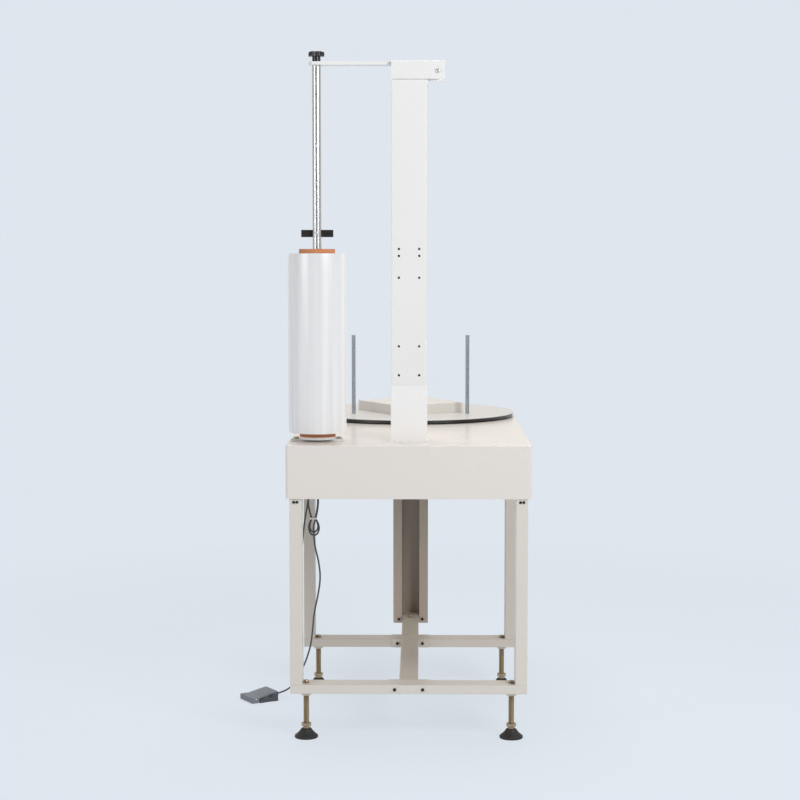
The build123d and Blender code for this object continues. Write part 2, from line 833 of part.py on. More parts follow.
def belt_outline(clearance, depth):
    """Outline of a belt surface round both pulleys, depth below their rims."""
    wide = driven_radius - depth + clearance
    narrow = drive_radius - depth + clearance
    lean = math.asin((wide - narrow) / motor_distance)
    side_x = math.cos(lean)
    side_y = -math.sin(lean)
    corners = (
        (wide * side_x, wide * side_y),
        (narrow * side_x, narrow * side_y - motor_distance),
        (-narrow * side_x, narrow * side_y - motor_distance),
        (-wide * side_x, wide * side_y),
    )
    outline = make_face(Polyline(*corners, close=True))
    return outline + Circle(wide) + Pos(0, -motor_distance) * Circle(narrow)


def drive_belt():
    """Endless belt, drawn clear of both pulleys so that they can turn."""
    height = groove_width - 2 * belt_clearance
    loop = extrude(belt_outline(0, belt_clearance), height)
    loop -= extrude(belt_outline(belt_clearance, groove_depth), height)
    return Pos(0, 0, groove_base + belt_clearance) * loop


def gearmotor():
    """Worm gearbox on the tray with its motor lying to the right."""
    half = gearbox_size / 2
    top = tray_top + gearbox_height
    y = -motor_distance
    box = block((-half, half), (y - half, y + half), (tray_top, top))
    box = fillet(box.edges().filter_by(Axis.Z), gearbox_corner)
    bore_base = (0, y, top - gearbox_bore_depth)
    box -= bar(drive_shaft_radius + running_clearance, bore_base, (0, y, top))
    middle = tray_top + gearbox_height / 2
    motor = bar(motor_radius, (half, y, middle), (half + motor_length, y, middle))
    return [box, motor]


# ---------------------------------------------------------------- controls
def control_box():
    """Control box on the far skirt, pocketed for its switches, with the mains inlet on its end."""
    x = (panel_centre - panel_width / 2, panel_centre + panel_width / 2)
    z = (panel_middle - panel_height / 2, panel_middle + panel_height / 2)
    body = block(x, (panel_y, panel_face), z)
    body = fillet(body.faces().sort_by(Axis.Y)[-1].edges(), panel_edge)
    wide = rocker_width / 2 + slide_clearance
    tall = rocker_height / 2 + rocker_end_gap
    pocket_y = (panel_face - rocker_pocket, panel_face)
    body -= block((rocker_x - wide, rocker_x + wide), pocket_y, (panel_middle - tall, panel_middle + tall))
    pin_y = panel_face - rocker_pin_drop
    pin_end = wide + rocker_pin_reach
    left = (rocker_x - pin_end, pin_y, panel_middle)
    right = (rocker_x + pin_end, pin_y, panel_middle)
    body -= bar(rocker_pin_radius + running_clearance, left, right)
    for place, radius in (
        (button_x, button_radius + slide_clearance),
        (mushroom_x, mushroom_stem_radius + slide_clearance),
        (dial_x, stem_radius + running_clearance),
    ):
        floor = (place, panel_face - bore_depth, panel_middle)
        body -= bar(radius, floor, (place, panel_face, panel_middle))
    return [body, mains_inlet(x[1])]


def mains_inlet(face):
    """Shallow shroud on the box's end, with the socket's floor in it."""
    low = (panel_y + panel_face - inlet_width) / 2
    high = low + inlet_width
    tall = inlet_height / 2
    deep = tall - inlet_wall
    outer = block((face, face + inlet_reach), (low, high), (panel_middle - tall, panel_middle + tall))
    return outer - block(
        (face + inlet_floor, face + inlet_reach),
        (low + inlet_wall, high - inlet_wall),
        (panel_middle - deep, panel_middle + deep),
    )


def power_rocker():
    """Rocker that tips about its own stubs; its lower half is pressed in."""
    half = rocker_height / 2
    root = half - rocker_root
    outline = make_face(Polyline(
        (0, rocker_waist),
        (half, rocker_rim),
        (root, -rocker_root),
        (-root, -rocker_root),
        (-half, rocker_rim),
        close=True,
    ))
    solid = extrude(Plane.YZ * Rot(0, 0, 90) * outline, rocker_width / 2, both=True)
    pin_end = rocker_width / 2 + rocker_pin_reach
    solid += bar(rocker_pin_radius, (-pin_end, 0, 0), (pin_end, 0, 0))
    place = Pos(rocker_x, panel_face - rocker_pin_drop, panel_middle)
    return place * Rot(rocker_throw, 0, 0) * solid


def start_button():
    """Round push button in its bore."""
    start = (button_x, panel_face - button_root, panel_middle)
    body = bar(button_radius, start, (button_x, panel_face + button_reach, panel_middle))
    return fillet(body.faces().sort_by(Axis.Y)[-1].edges(), button_round)


def stop_button():
    """Mushroom push button."""
    start = (mushroom_x, panel_face - button_root, panel_middle)
    neck = (mushroom_x, panel_face + button_reach, panel_middle)
    head = bar(mushroom_radius, neck, (mushroom_x, neck[1] + mushroom_height, panel_middle))
    head = fillet(head.faces().sort_by(Axis.Y)[-1].edges(), mushroom_round)
    return head + bar(mushroom_stem_radius, start, neck)


def speed_knob():
    """Dial with a pointer ridge."""
    face = (dial_x, panel_face + dial_gap, panel_middle)
    top = face[1] + dial_height
    body = bar(dial_radius, face, (dial_x, top, panel_middle))
    body = chamfer(body.faces().sort_by(Axis.Y)[-1].edges(), dial_edge)
    half = pointer_size / 2
    pointer_z = (panel_middle, panel_middle + dial_radius - dial_edge)
    body += block((dial_x - half, dial_x + half), (top, top + pointer_size), pointer_z)
    return body + bar(stem_radius, (dial_x, panel_face - stem_length, panel_middle), face)


# ---------------------------------------------------------------- foot pedal
# Drawn with its toe towards -X and its heel towards +X, then turned and put on the floor.
pedal_place = Pos(pedal_x, skirt_y + pedal_setback, 0) * Rot(0, 0, pedal_turn)
toe = -pedal_length / 2
heel = pedal_length / 2
pedal_pivot_x = toe + pedal_pivot_setback


def pedal_base():
    """Base plate with two cheeks, a switch block, a heel block and the cable's boot."""
    half = pedal_width / 2
    body = block((toe, heel), (-half, half), (0, pedal_base_height))
    body = fillet(body.edges().filter_by(Axis.Z), pedal_corner)
    cheek_z = (pedal_base_height, pedal_pivot_height + cheek_rise)
    for side in (-1, 1):
        cheek = sorted((side * half, side * (half - cheek_thickness)))
        body += block((toe + 2 * pedal_corner, heel - pedal_corner), cheek, cheek_z)
        foot_end = half + heel_foot_reach
        foot = sorted((side * (foot_end - heel_foot_width), side * foot_end))
        body += block((heel - heel_foot_length, heel), foot, (0, heel_foot_height))
    wide = heel_block_width / 2
    block_z = (pedal_base_height, heel_block_height)
    body += block((heel - heel_block_length, heel), (-wide, wide), block_z)
    pin_end = half + pedal_pin_head
    left = (pedal_pivot_x, -pin_end, pedal_pivot_height)
    right = (pedal_pivot_x, pin_end, pedal_pivot_height)
    pin = bar(pedal_pin_radius, left, right)
    boot = Plane(origin=(heel, 0, boot_height), z_dir=(1, 0, 0)) * Cone(
        cord_radius + boot_walls[0],
        cord_radius + boot_walls[1],
        boot_length,
        align=(Align.CENTER, Align.CENTER, Align.MIN),
    )
    return [pedal_place * (body - pin), pedal_place * boot, pedal_place * pin]


def pedal_treadle():
    """Wedge-shaped tread that tips down at the heel, clear of the block that the cable enters."""
    half = pedal_width / 2 - cheek_thickness - treadle_clearance
    low = pedal_base_height + treadle_lift
    profile = make_face(Polyline(
        (toe + treadle_lift, low),
        (toe, pedal_toe_height),
        (heel - heel_foot_reach, pedal_heel_height),
        (heel, pedal_heel_height - pedal_nose),
        (heel, pedal_heel_gap),
        (pedal_pivot_x + pedal_pivot_setback / 2, low),
        close=True,
    ))
    body = extrude(Plane.XZ * profile, half, both=True)
    left = (pedal_pivot_x, -half, pedal_pivot_height)
    right = (pedal_pivot_x, half, pedal_pivot_height)
    return pedal_place * (body - bar(pedal_pin_radius + running_clearance, left, right))


# ---------------------------------------------------------------- pedal cable
def cable_bracket():
    """Plate inside the left skirt with a tab for the gland and a peg for the hank."""
    wall_x = -table_width / 2 + sheet
    peg_x = upper_centre[0]
    peg_z = upper_centre[1] + upper_loop[1] - loop_band - peg_radius - peg_gap
    face = cord_y + bracket_setback
    plate_y = (face, face + bracket_thickness)
    plate_z = (peg_z - bracket_drop, skirt_bottom + bracket_rise)
    tab_low = gland_bottom + gland_nut_base + gland_nut_height
    tab_z = (tab_low, tab_low + bracket_thickness)
    body = block((wall_x, peg_x + bracket_reach), plate_y, plate_z)
    body += block((wall_x, gland_x + tab_reach), (cord_y - bracket_setback, face), tab_z)
    body += bar(peg_radius, (peg_x, face - peg_length, peg_z), (peg_x, face, peg_z))
    return body - bar(gland_radius, (gland_x, cord_y, tab_z[0]), (gland_x, cord_y, tab_z[1]))


def cable_gland():
    """Round gland through the tab; the cable comes out of its lower end."""
    top = (gland_x, cord_y, gland_bottom + gland_height)
    body = bar(gland_radius, (gland_x, cord_y, gland_bottom), top)
    nut_base = (gland_x, cord_y, gland_bottom + gland_nut_base)
    return body + hexagon(gland_across_flats, gland_nut_height, nut_base, (0, 0, 1))


def loop_ring(centre, size):
    """An oval ring that faces along Y."""
    ring = Ellipse(*size) - Ellipse(size[0] - loop_band, size[1] - loop_band)
    place = Plane(origin=(centre[0], cord_y, centre[1]), x_dir=(1, 0, 0), z_dir=(0, -1, 0))
    return extrude(place * ring, hank_thickness / 2, both=True)


def waist(grow, height):
    """A block round the hank's waist, or the tie's outside when it is grown."""
    x = (lower_centre[0] + upper_centre[0]) / 2
    z = (lower_centre[1] + lower_loop[1] + upper_centre[1] - upper_loop[1]) / 2
    wide = waist_half + grow
    deep = hank_thickness / 2 + grow
    return block((x - wide, x + wide), (cord_y - deep, cord_y + deep), (z - height / 2, z + height / 2))


def cable_hank():
    """Outer shape of the tied-up length: two oval loops with a waist between them."""
    loops = loop_ring(upper_centre, upper_loop) + loop_ring(lower_centre, lower_loop)
    return loops + waist(0, 2 * loop_band)


def cable_tie():
    """Band round the hank's waist."""
    return waist(tie_thickness, tie_width) - waist(0, tie_width)


def cord_tube(name, points):
    """Round cable along straight runs that are joined by the largest arcs that fit."""
    points = [Vector(*point) for point in points]
    radii = []
    for before, corner, after in zip(points, points[1:], points[2:]):
        arriving = corner - before
        leaving = after - corner
        half_turn = math.radians(arriving.get_angle(leaving)) / 2
        shorter = min(arriving.length, leaving.length)
        radii.append(0.45 * shorter / math.tan(half_turn))
    path = FilletPolyline(*points, radius=radii)
    profile = Plane(origin=path @ 0, z_dir=path % 0) * Circle(cord_radius)
    tube = sweep(profile, path=path)
    plain = math.pi * cord_radius ** 2 * path.length
    print(name, "length", round(path.length, 1), "volume ratio", round(tube.volume / plain, 4))
    print(name, "radii", [round(radius, 1) for radius in radii])
    return tube


# Route of the cable, each point as x, depth behind the skirt, z. The feed comes down from the gland,
# turns back up beside the leg and joins the hank; the tail hangs from the hank to the pedal.
feed_route = (
    (-322.0, 420.0, 664.0),
    (-322.0, 420.0, 627.5),
    (-330.0, 420.0, 583.5),
    (-342.0, 420.0, 540.0),
    (-350.0, 420.0, 497.0),
    (-351.5, 420.0, 470.0),
    (-341.5, 420.0, 460.0),
    (-327.5, 420.0, 460.0),
    (-317.5, 420.0, 470.0),
    (-315.8, 420.0, 496.0),
    (-311.0, 422.0, 545.0),
    (-301.5, 425.0, 597.5),
)
tail_route = (
    (-283.0, 420.0, 505.5),
    (-280.5, 420.0, 471.5),
    (-269.0, 420.0, 425.5),
    (-263.5, 421.0, 376.5),
    (-272.0, 423.0, 321.5),
    (-284.0, 427.5, 270.0),
    (-288.5, 434.0, 220.5),
    (-294.0, 443.0, 173.0),
    (-307.0, 454.0, 128.0),
    (-325.0, 467.0, 85.0),
    (-342.0, 480.0, 52.0),
    (-360.5, 492.5, 28.0),
    (-384.5, 495.5, 14.5),
)


def placed(route):
    """A route in the object's own frame."""
    return [(x, skirt_y + depth, z) for x, depth, z in route]


def cable_tail():
    """The tail, which ends at the tip of the pedal's boot."""
    turn = math.radians(pedal_turn)
    reach = heel + boot_length
    tip_y = skirt_y + pedal_setback + reach * math.sin(turn)
    tip = (pedal_x + reach * math.cos(turn), tip_y, boot_height)
    return cord_tube("tail", placed(tail_route) + [tip])


# ---------------------------------------------------------------- nodes
nodes = {
    "table_housing": table_housing(),
    "leg_front_left": leg(-1, True),
    "leg_front_right": leg(1, True),
    "leg_rear_left": leg(-1, False),
    "leg_rear_right": leg(1, False),
    "rail_front": rail(front_leg_y),
    "rail_rear": rail(rear_leg_y),
    "spine_front": spine(front_leg_y + leg_depth + cleat_thickness, rear_leg_y - cleat_thickness),
    "spine_rear": spine_rear(),
    "spine_cleats": spine_cleats(),
    "far_post": far_post(),
    "cross_beams": cross_beams(),
    "frame_bolts": frame_bolts(),
    "mast_tube": mast_tube(),
    "mast_sleeve": mast_sleeve(),
    "mast_clevis": mast_clevis(),
    "arm_pivot_bolt": arm_pivot_bolt(),
    "arm_cap": arm_cap(),
    "arm_bar": arm_bar(),
    "lock_knob": lock_knob(),
    "film_rod": film_rod(),
    "roll_base_plate": roll_base_plate(),
    "roll_flange": roll_flange(),
    "core_bush": core_bush(),
    "film_core": roll_sleeve(core_radius, core_bore, core_base, core_base + core_length),
    "film_wrap": roll_sleeve(film_radius, core_radius, film_base, film_base + film_length),
    "stop_bar": stop_bar(),
    "stop_screw": stop_screw(),
    "turntable_disc": turntable_disc(),
    "turntable_hub": turntable_hub(),
    "load_platform": load_platform(),
    "locating_pins": locating_pins(),
    "bearing_housing": bearing_housing(),
    "driven_pulley": pulley(0, driven_radius, shaft_radius),
    "drive_pulley": drive_pulley(),
    "drive_belt": drive_belt(),
    "gearmotor": gearmotor(),
    "control_box": control_box(),
    "power_rocker": power_rocker(),
    "start_button": start_button(),
    "stop_button": stop_button(),
    "speed_knob": speed_knob(),
    "pedal_base": pedal_base(),
    "pedal_treadle": pedal_treadle(),
    "cable_bracket": cable_bracket(),
    "cable_gland": cable_gland(),
    "cable_feed": cord_tube("feed", placed(feed_route)),
    "cable_hank": cable_hank(),
    "cable_tie": cable_tie(),
    "cable_tail": cable_tail(),
}
for number, place in enumerate(foot_places, start=1):
    nodes[f"foot_{number}_stud"] = foot_stud(place)
    nodes[f"foot_{number}_pad"] = foot_pad(place, pad_radius if number < 5 else centre_pad_radius)

os.makedirs("parts", exist_ok=True)
for name, shape in nodes.items():
    solids = shape if isinstance(shape, list) else [shape]
    flat = [solid for piece in solids for solid in piece.solids()]
    node = Compound(children=flat) if len(flat) > 1 else flat[0]
    node.label = name
    export_step(node, f"parts/{name}.step")
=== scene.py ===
# %% [markdown]
# # A turntable pallet wrapper
# The machine is a waist-high sheet-metal table with a powered turntable at one end and a mast at the
# other. A roll of stretch film stands on a rod beside the mast, and a foot pedal starts and stops it.
# This lesson dresses the machine's engineering model: metal pieces keep their exact shapes and get
# finishes, and the cable, the film, the feet and the pedal are modelled here.

# %% Load the machine
import math

import bpy
from mathutils import Matrix, Vector


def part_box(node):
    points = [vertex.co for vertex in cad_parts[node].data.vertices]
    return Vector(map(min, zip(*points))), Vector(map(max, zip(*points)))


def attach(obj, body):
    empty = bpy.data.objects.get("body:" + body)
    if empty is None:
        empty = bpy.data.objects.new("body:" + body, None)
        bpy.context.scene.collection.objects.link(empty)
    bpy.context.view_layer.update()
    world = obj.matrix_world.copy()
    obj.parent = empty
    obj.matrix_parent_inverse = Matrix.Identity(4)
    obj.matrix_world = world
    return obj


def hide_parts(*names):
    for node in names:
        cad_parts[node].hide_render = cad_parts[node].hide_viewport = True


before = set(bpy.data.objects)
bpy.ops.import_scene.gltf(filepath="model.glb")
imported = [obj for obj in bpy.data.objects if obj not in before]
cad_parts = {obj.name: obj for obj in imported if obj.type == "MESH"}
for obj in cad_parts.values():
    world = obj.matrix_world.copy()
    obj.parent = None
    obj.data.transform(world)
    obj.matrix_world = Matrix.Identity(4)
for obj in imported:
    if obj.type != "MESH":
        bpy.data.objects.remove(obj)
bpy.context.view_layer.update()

MM = 0.001

# %% [markdown]
# ## The camera
# A long lens from almost six metres away keeps the mast and the legs nearly parallel, as a catalogue
# picture of a machine does. It could be aimed by a constraint, but plain angles can be read back, so
# the camera is given its place, its tilt below level and its small turn to the left.

# %% Camera
CAMERA_PLACE = (0.0318, -5.8085, 1.3215)
CAMERA_TILT = 0.0786
CAMERA_TURN = 0.0114
SENSOR_WIDTH = 36
FOCAL_LENGTH = 81.18
bpy.ops.object.select_all(action="DESELECT")
bpy.ops.object.camera_add(
    location=CAMERA_PLACE, rotation=(math.pi / 2 - CAMERA_TILT, 0, CAMERA_TURN)
)
camera = bpy.context.object
camera.data.sensor_width = SENSOR_WIDTH
camera.data.lens = FOCAL_LENGTH
bpy.context.scene.camera = camera
print("camera", tuple(camera.location), "lens", camera.data.lens)

# %% [markdown]
# ## The pedal's cable
# A thin round cable leaves a gland under the table, turns back up beside the leg, is tied up in a
# small hank of two loops, and hangs from there down to the pedal. It could be a bent tube, but cable
# that hangs has no straight runs, so it is one smooth curve: the points below pull it along, and it
# cuts gently inside each of them. The hank's turns are more points of the same curve.

# %% Cable route
CABLE_THICKNESS = 5.0 * MM
feed = [
    (-322.0, -525.0, 664.0), (-322.0, -525.0, 627.5), (-330.0, -525.0, 583.5), (-342.0, -525.0, 540.0),
    (-350.0, -525.0, 497.0), (-351.5, -525.0, 470.0), (-341.5, -525.0, 460.0), (-327.5, -525.0, 460.0),
    (-317.5, -525.0, 470.0), (-315.8, -525.0, 496.0), (-311.0, -523.0, 545.0), (-301.5, -520.0, 597.5),
]
tail = [
    (-283.0, -525.0, 505.5), (-280.5, -525.0, 471.5), (-269.0, -525.0, 425.5), (-263.5, -524.0, 376.5),
    (-272.0, -522.0, 321.5), (-284.0, -517.5, 270.0), (-288.5, -511.0, 220.5), (-294.0, -502.0, 173.0),
    (-307.0, -491.0, 128.0), (-325.0, -478.0, 85.0), (-342.0, -465.0, 52.0), (-360.5, -452.5, 28.0),
    (-384.5, -449.5, 14.5), (-402.36, -459.41, 12.0),
]
print("feed points", len(feed), "tail points", len(tail))

# %% Turns of the hank
UP_LEFT = [(-299.5, 621.5), (-295.5, 637.5), (-285.5, 642), (-275.5, 637.5), (-271.5, 621.5)]
DOWN_RIGHT = [(-271.5, 597.5), (-274.5, 574.5), (-279.5, 554.5)]
LOWER_LOOP = [
    (-271, 540.5), (-266.8, 524.5), (-272, 507.5), (-283, 502), (-294, 507.5), (-299.2, 524.5),
    (-296, 540.5),
]
BACK_UP = [(-289.5, 554.5), (-295.5, 574.5), (-299.5, 597.5)]
WAIST_HEIGHT = 554.5
STRAND_STEP = 5.3
HANK_DEPTH = -520.0
HANK_MIDDLE = -283.0
hank = []
for turn in range(2):
    depth = HANK_DEPTH - STRAND_STEP * turn
    shrink = 1.0 - 0.2 * turn
    hank += [(x + 1.5 * turn, depth, z) for x, z in UP_LEFT + DOWN_RIGHT]
    hank += [
        (HANK_MIDDLE + (x - HANK_MIDDLE) * shrink, depth, WAIST_HEIGHT + (z - WAIST_HEIGHT) * shrink)
        for x, z in LOWER_LOOP
    ]
    hank += [(x, depth - STRAND_STEP * step / 3, z) for step, (x, z) in enumerate(BACK_UP, start=1)]
last = HANK_DEPTH - 2 * STRAND_STEP
hank += [(x + 2.0, last, z) for x, z in UP_LEFT + DOWN_RIGHT]
hank += [(HANK_MIDDLE, last - 0.5, 536.5), (-284.5, last - 0.5, 521.5)]
print("hank points", len(hank))

# %% The cable as one curve
cable_line = bpy.data.curves.new("pedal_cable", "CURVE")
cable_line.dimensions = "3D"
cable_line.bevel_depth = CABLE_THICKNESS / 2
cable_line.bevel_resolution = 5
cable_line.resolution_u = 10
cable_line.use_fill_caps = True
places = feed + hank + [(HANK_MIDDLE, last + 1.0, 505.5)] + tail[1:]
spline = cable_line.splines.new("NURBS")
spline.points.add(len(places) - 1)
for point, place in zip(spline.points, places):
    point.co = (*(value * MM for value in place), 1)
spline.order_u = 3
spline.use_endpoint_u = True
cable = bpy.data.objects.new("pedal_cable", cable_line)
bpy.context.scene.collection.objects.link(cable)

# %% [markdown]
# ## A node helper and colours
# Every finish below is a small tree of nodes. One function adds a node with its settings and its
# links, and another turns a hex colour, as a paint card gives it, into the linear colour that a
# renderer works with.

# %% Node and colour helpers
COLOUR_A, COLOUR_B, COLOUR_OUT = 6, 7, 2


def linear(code):
    """A hex colour such as DFE6EE as linear red, green, blue and alpha."""
    shares = [int(code[i:i + 2], 16) / 255 for i in (0, 2, 4)]
    return (*(c / 12.92 if c <= 0.04045 else ((c + 0.055) / 1.055) ** 2.4 for c in shares), 1.0)


def add(tree, kind, inputs=None, **settings):
    """Adds a node. An input is a value, or another node's output to link."""
    made = tree.nodes.new(kind)
    for name, value in settings.items():
        setattr(made, name, value)
    for name, value in (inputs or {}).items():
        if isinstance(value, bpy.types.NodeSocket):
            tree.links.new(value, made.inputs[name])
        else:
            made.inputs[name].default_value = value
    return made


def new_finish(name, roughness, **constants):
    """A material with a Principled shader: the tree, the shader and the piece's own coordinates."""
    finish = bpy.data.materials.new(name)
    finish.use_nodes = True
    tree = finish.node_tree
    tree.nodes.clear()
    values = {"Roughness": roughness}
    values.update({key.replace("_", " "): value for key, value in constants.items()})
    shader = add(tree, "ShaderNodeBsdfPrincipled", values)
    add(tree, "ShaderNodeOutputMaterial", {"Surface": shader.outputs["BSDF"]})
    place = add(tree, "ShaderNodeTexCoord").outputs["Object"]
    return finish, tree, shader, place


# %% [markdown]
# ## Powder coat
# The sheet metal is powder coated: dry paint melted in an oven, which leaves a semi-gloss skin with a
# fine orange peel. It could be one colour, but a real panel's tone drifts a little over its length,
# so a slow noise drifts the colour and the gloss, and a fine one lifts the skin. The peel of about
# 1 mm is drawn at 3 mm, because finer grain doesn't show.

# %% Powder coat finish
PEEL = 3.0 * MM
DRIFT = 260.0 * MM


def drifting_tone(tree, place, light, dark):
    """The slow noise of a coat, and the colour that it gives."""
    drift = add(tree, "ShaderNodeTexNoise", {"Vector": place, "Scale": 1 / DRIFT, "Detail": 3.0})
    tone = add(tree, "ShaderNodeMix", {
        "Factor": drift.outputs["Fac"], COLOUR_A: linear(dark), COLOUR_B: linear(light),
    }, data_type="RGBA")
    return drift, tone


def orange_peel(tree, shader, place):
    """The fine relief of a melted powder."""
    peel = add(tree, "ShaderNodeTexNoise", {"Vector": place, "Scale": 1 / PEEL, "Detail": 1.5})
    lift = add(tree, "ShaderNodeBump", {
        "Height": peel.outputs["Fac"], "Strength": 0.12, "Distance": 0.2 * MM,
    })
    tree.links.new(lift.outputs["Normal"], shader.inputs["Normal"])


def powder_coat(name, light, dark, roughness):
    finish, tree, shader, place = new_finish(name, roughness, Coat_Weight=0.15, Coat_Roughness=0.2)
    drift, tone = drifting_tone(tree, place, light, dark)
    tree.links.new(tone.outputs[COLOUR_OUT], shader.inputs["Base Color"])
    gloss = add(tree, "ShaderNodeMapRange", {
        "Value": drift.outputs["Fac"], "From Min": 0.3, "From Max": 0.7,
        "To Min": roughness - 0.04, "To Max": roughness + 0.05,
    })
    tree.links.new(gloss.outputs["Result"], shader.inputs["Roughness"])
    orange_peel(tree, shader, place)
    return finish


table_coat = powder_coat("powder_coat_warm_grey", "DFD8D1", "DBD4CD", 0.24)
# The legs, the rear frame and the post wear the table's own paint. These darker, greyer copies are painted
# shade, getting deeper from the front legs to the far post under the table top.
leg_coat_painted_shade = powder_coat("powder_coat_leg_painted_shade", "D9D2C9", "D4CDC4", 0.34)
frame_coat_painted_shade = powder_coat("powder_coat_frame_painted_shade", "CAC1B6", "C1B8AC", 0.38)
post_coat_painted_shade = powder_coat("powder_coat_post_painted_shade", "B9AA9B", "AFA090", 0.42)
mast_coat = powder_coat("powder_coat_white", "E7E5E3", "E2E0DD", 0.34)
sleeve_coat = powder_coat("powder_coat_sleeve_white", "EDEBEA", "E9E7E5", 0.32)
platform_coat = powder_coat("powder_coat_platform", "D6D1CA", "D0CBC3", 0.36)
motor_coat = powder_coat("enamel_motor_grey", "8C9499", "7E878D", 0.42)
print("table coat", table_coat.name, "and seven more tones")

# %% [markdown]
# The disc's top is coated a little greyer than the platform, and its node also holds the stiffening ring
# under the rim. This finish changes colour where the coating stops, 2.5 mm below the top, and paints the
# ring near black: painted shade for the dark gap under the disc.

# %% Disc finish
COATED_EDGE = 2.5 * MM
disc_coat_and_painted_shade, tree, shader, place = new_finish(
    "powder_coat_disc_painted_shade_rim", 0.34, Coat_Weight=0.15, Coat_Roughness=0.2
)
disc_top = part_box("turntable_disc")[1].z
height = add(tree, "ShaderNodeSeparateXYZ", {"Vector": place})
coated = add(tree, "ShaderNodeMath", {
    0: height.outputs["Z"], 1: disc_top - COATED_EDGE,
}, operation="GREATER_THAN")
top_tone = drifting_tone(tree, place, "CCC9C6", "C7C4C0")[1]
# The near black below the coated edge is painted shade for the gap under the disc.
tone = add(tree, "ShaderNodeMix", {
    "Factor": coated.outputs["Value"], COLOUR_A: linear("1C1B1A"),
    COLOUR_B: top_tone.outputs[COLOUR_OUT],
}, data_type="RGBA")
tree.links.new(tone.outputs[COLOUR_OUT], shader.inputs["Base Color"])
orange_peel(tree, shader, place)
print("coated above", round(disc_top - COATED_EDGE, 4))

# %% [markdown]
# ## Plated and plain metals
# Studs and bolts are zinc plated and passivated, which gives a soft yellowish sheen. The rod and pins
# are ground and chrome plated, with a soft sheen. The drive's shafts and pulleys are turned steel
# and cast iron. A metal's colour is its reflection, so each tree only sets the tint, the polish, and
# the direction of the marks that grinding or turning leaves.

# %% Metal finishes
TURNING_MARK = 1.2 * MM
PLATING_CLOUD = 8.0 * MM


def metal(name, tint, other, roughness, marks):
    finish, tree, shader, place = new_finish(name, roughness, Metallic=1.0)
    cloud = add(tree, "ShaderNodeTexNoise", {"Vector": place, "Scale": 1 / PLATING_CLOUD, "Detail": 3.0})
    tone = add(tree, "ShaderNodeMix", {
        "Factor": cloud.outputs["Fac"], COLOUR_A: linear(tint), COLOUR_B: linear(other),
    }, data_type="RGBA")
    tree.links.new(tone.outputs[COLOUR_OUT], shader.inputs["Base Color"])
    gloss = add(tree, "ShaderNodeMapRange", {
        "Value": cloud.outputs["Fac"], "From Min": 0.3, "From Max": 0.7,
        "To Min": roughness * 0.85, "To Max": roughness * 1.25,
    })
    tree.links.new(gloss.outputs["Result"], shader.inputs["Roughness"])
    if marks:
        stretched = add(tree, "ShaderNodeMapping", {"Vector": place, "Scale": (0.05, 0.05, 1.0)})
        lines = add(tree, "ShaderNodeTexNoise", {
            "Vector": stretched.outputs["Vector"], "Scale": 1 / TURNING_MARK, "Detail": 2.0,
        })
        relief = add(tree, "ShaderNodeBump", {
            "Height": lines.outputs["Fac"], "Strength": marks, "Distance": 0.1 * MM,
        })
        tree.links.new(relief.outputs["Normal"], shader.inputs["Normal"])
    return finish


zinc_plate = metal("zinc_plate_passivated", "B8A78E", "A3927A", 0.36, 0.10)
bright_zinc = metal("zinc_plate_bright", "EAEAE9", "DCDCDB", 0.38, 0.03)
chrome_plate = metal("hard_chrome_ground", "C9C9C9", "C2C2C2", 0.30, 0.0)
pin_plate = metal("hard_chrome_pin", "A4A9AE", "9A9FA5", 0.30, 0.0)
dark_steel = metal("blackened_steel", "4A4643", "3A3734", 0.42, 0.12)
turned_steel = metal("turned_steel", "A9A9AA", "98989A", 0.32, 0.25)
cast_iron = metal("cast_iron_machined", "77797B", "66686A", 0.48, 0.20)

# %% [markdown]
# The fasteners are one node. The small socket screws in the legs, rails and post are blackened, and
# the locknuts under the rails and the two bolts beside the roll are zinc plated, so this finish is
# chosen by height: below the rails or above the table it is zinc, and between them it is black.

# %% Fastener finish
fastener_finish, tree, shader, place = new_finish("blackened_screws_and_zinc_nuts", 0.4, Metallic=1.0)
rail_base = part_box("rail_front")[0].z
table_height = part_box("table_housing")[1].z
level = add(tree, "ShaderNodeSeparateXYZ", {"Vector": place}).outputs["Z"]
under = add(tree, "ShaderNodeMath", {0: level, 1: rail_base + 0.5 * MM}, operation="LESS_THAN")
over = add(tree, "ShaderNodeMath", {0: level, 1: table_height}, operation="GREATER_THAN")
zinc_there = add(tree, "ShaderNodeMath", {
    0: under.outputs["Value"], 1: over.outputs["Value"],
}, operation="ADD")
cloud = add(tree, "ShaderNodeTexNoise", {"Vector": place, "Scale": 1 / PLATING_CLOUD, "Detail": 3.0})
plated = add(tree, "ShaderNodeMix", {
    "Factor": cloud.outputs["Fac"], COLOUR_A: linear("D9CFBF"), COLOUR_B: linear("C6B9A5"),
}, data_type="RGBA")
tone = add(tree, "ShaderNodeMix", {
    "Factor": zinc_there.outputs["Value"], COLOUR_A: linear("3A3734"), COLOUR_B: plated.outputs[COLOUR_OUT],
}, data_type="RGBA")
tree.links.new(tone.outputs[COLOUR_OUT], shader.inputs["Base Color"])
print("zinc below", round(rail_base, 3), "and above", round(table_height, 3))

# %% [markdown]
# ## Rubbers and moulded plastics
# The feet and the belt are black rubber, and the knob, the pedal and the switches are moulded
# plastic with a fine spark-eroded grain. One tree serves them all, with its own grain size, gloss and
# colour for each.

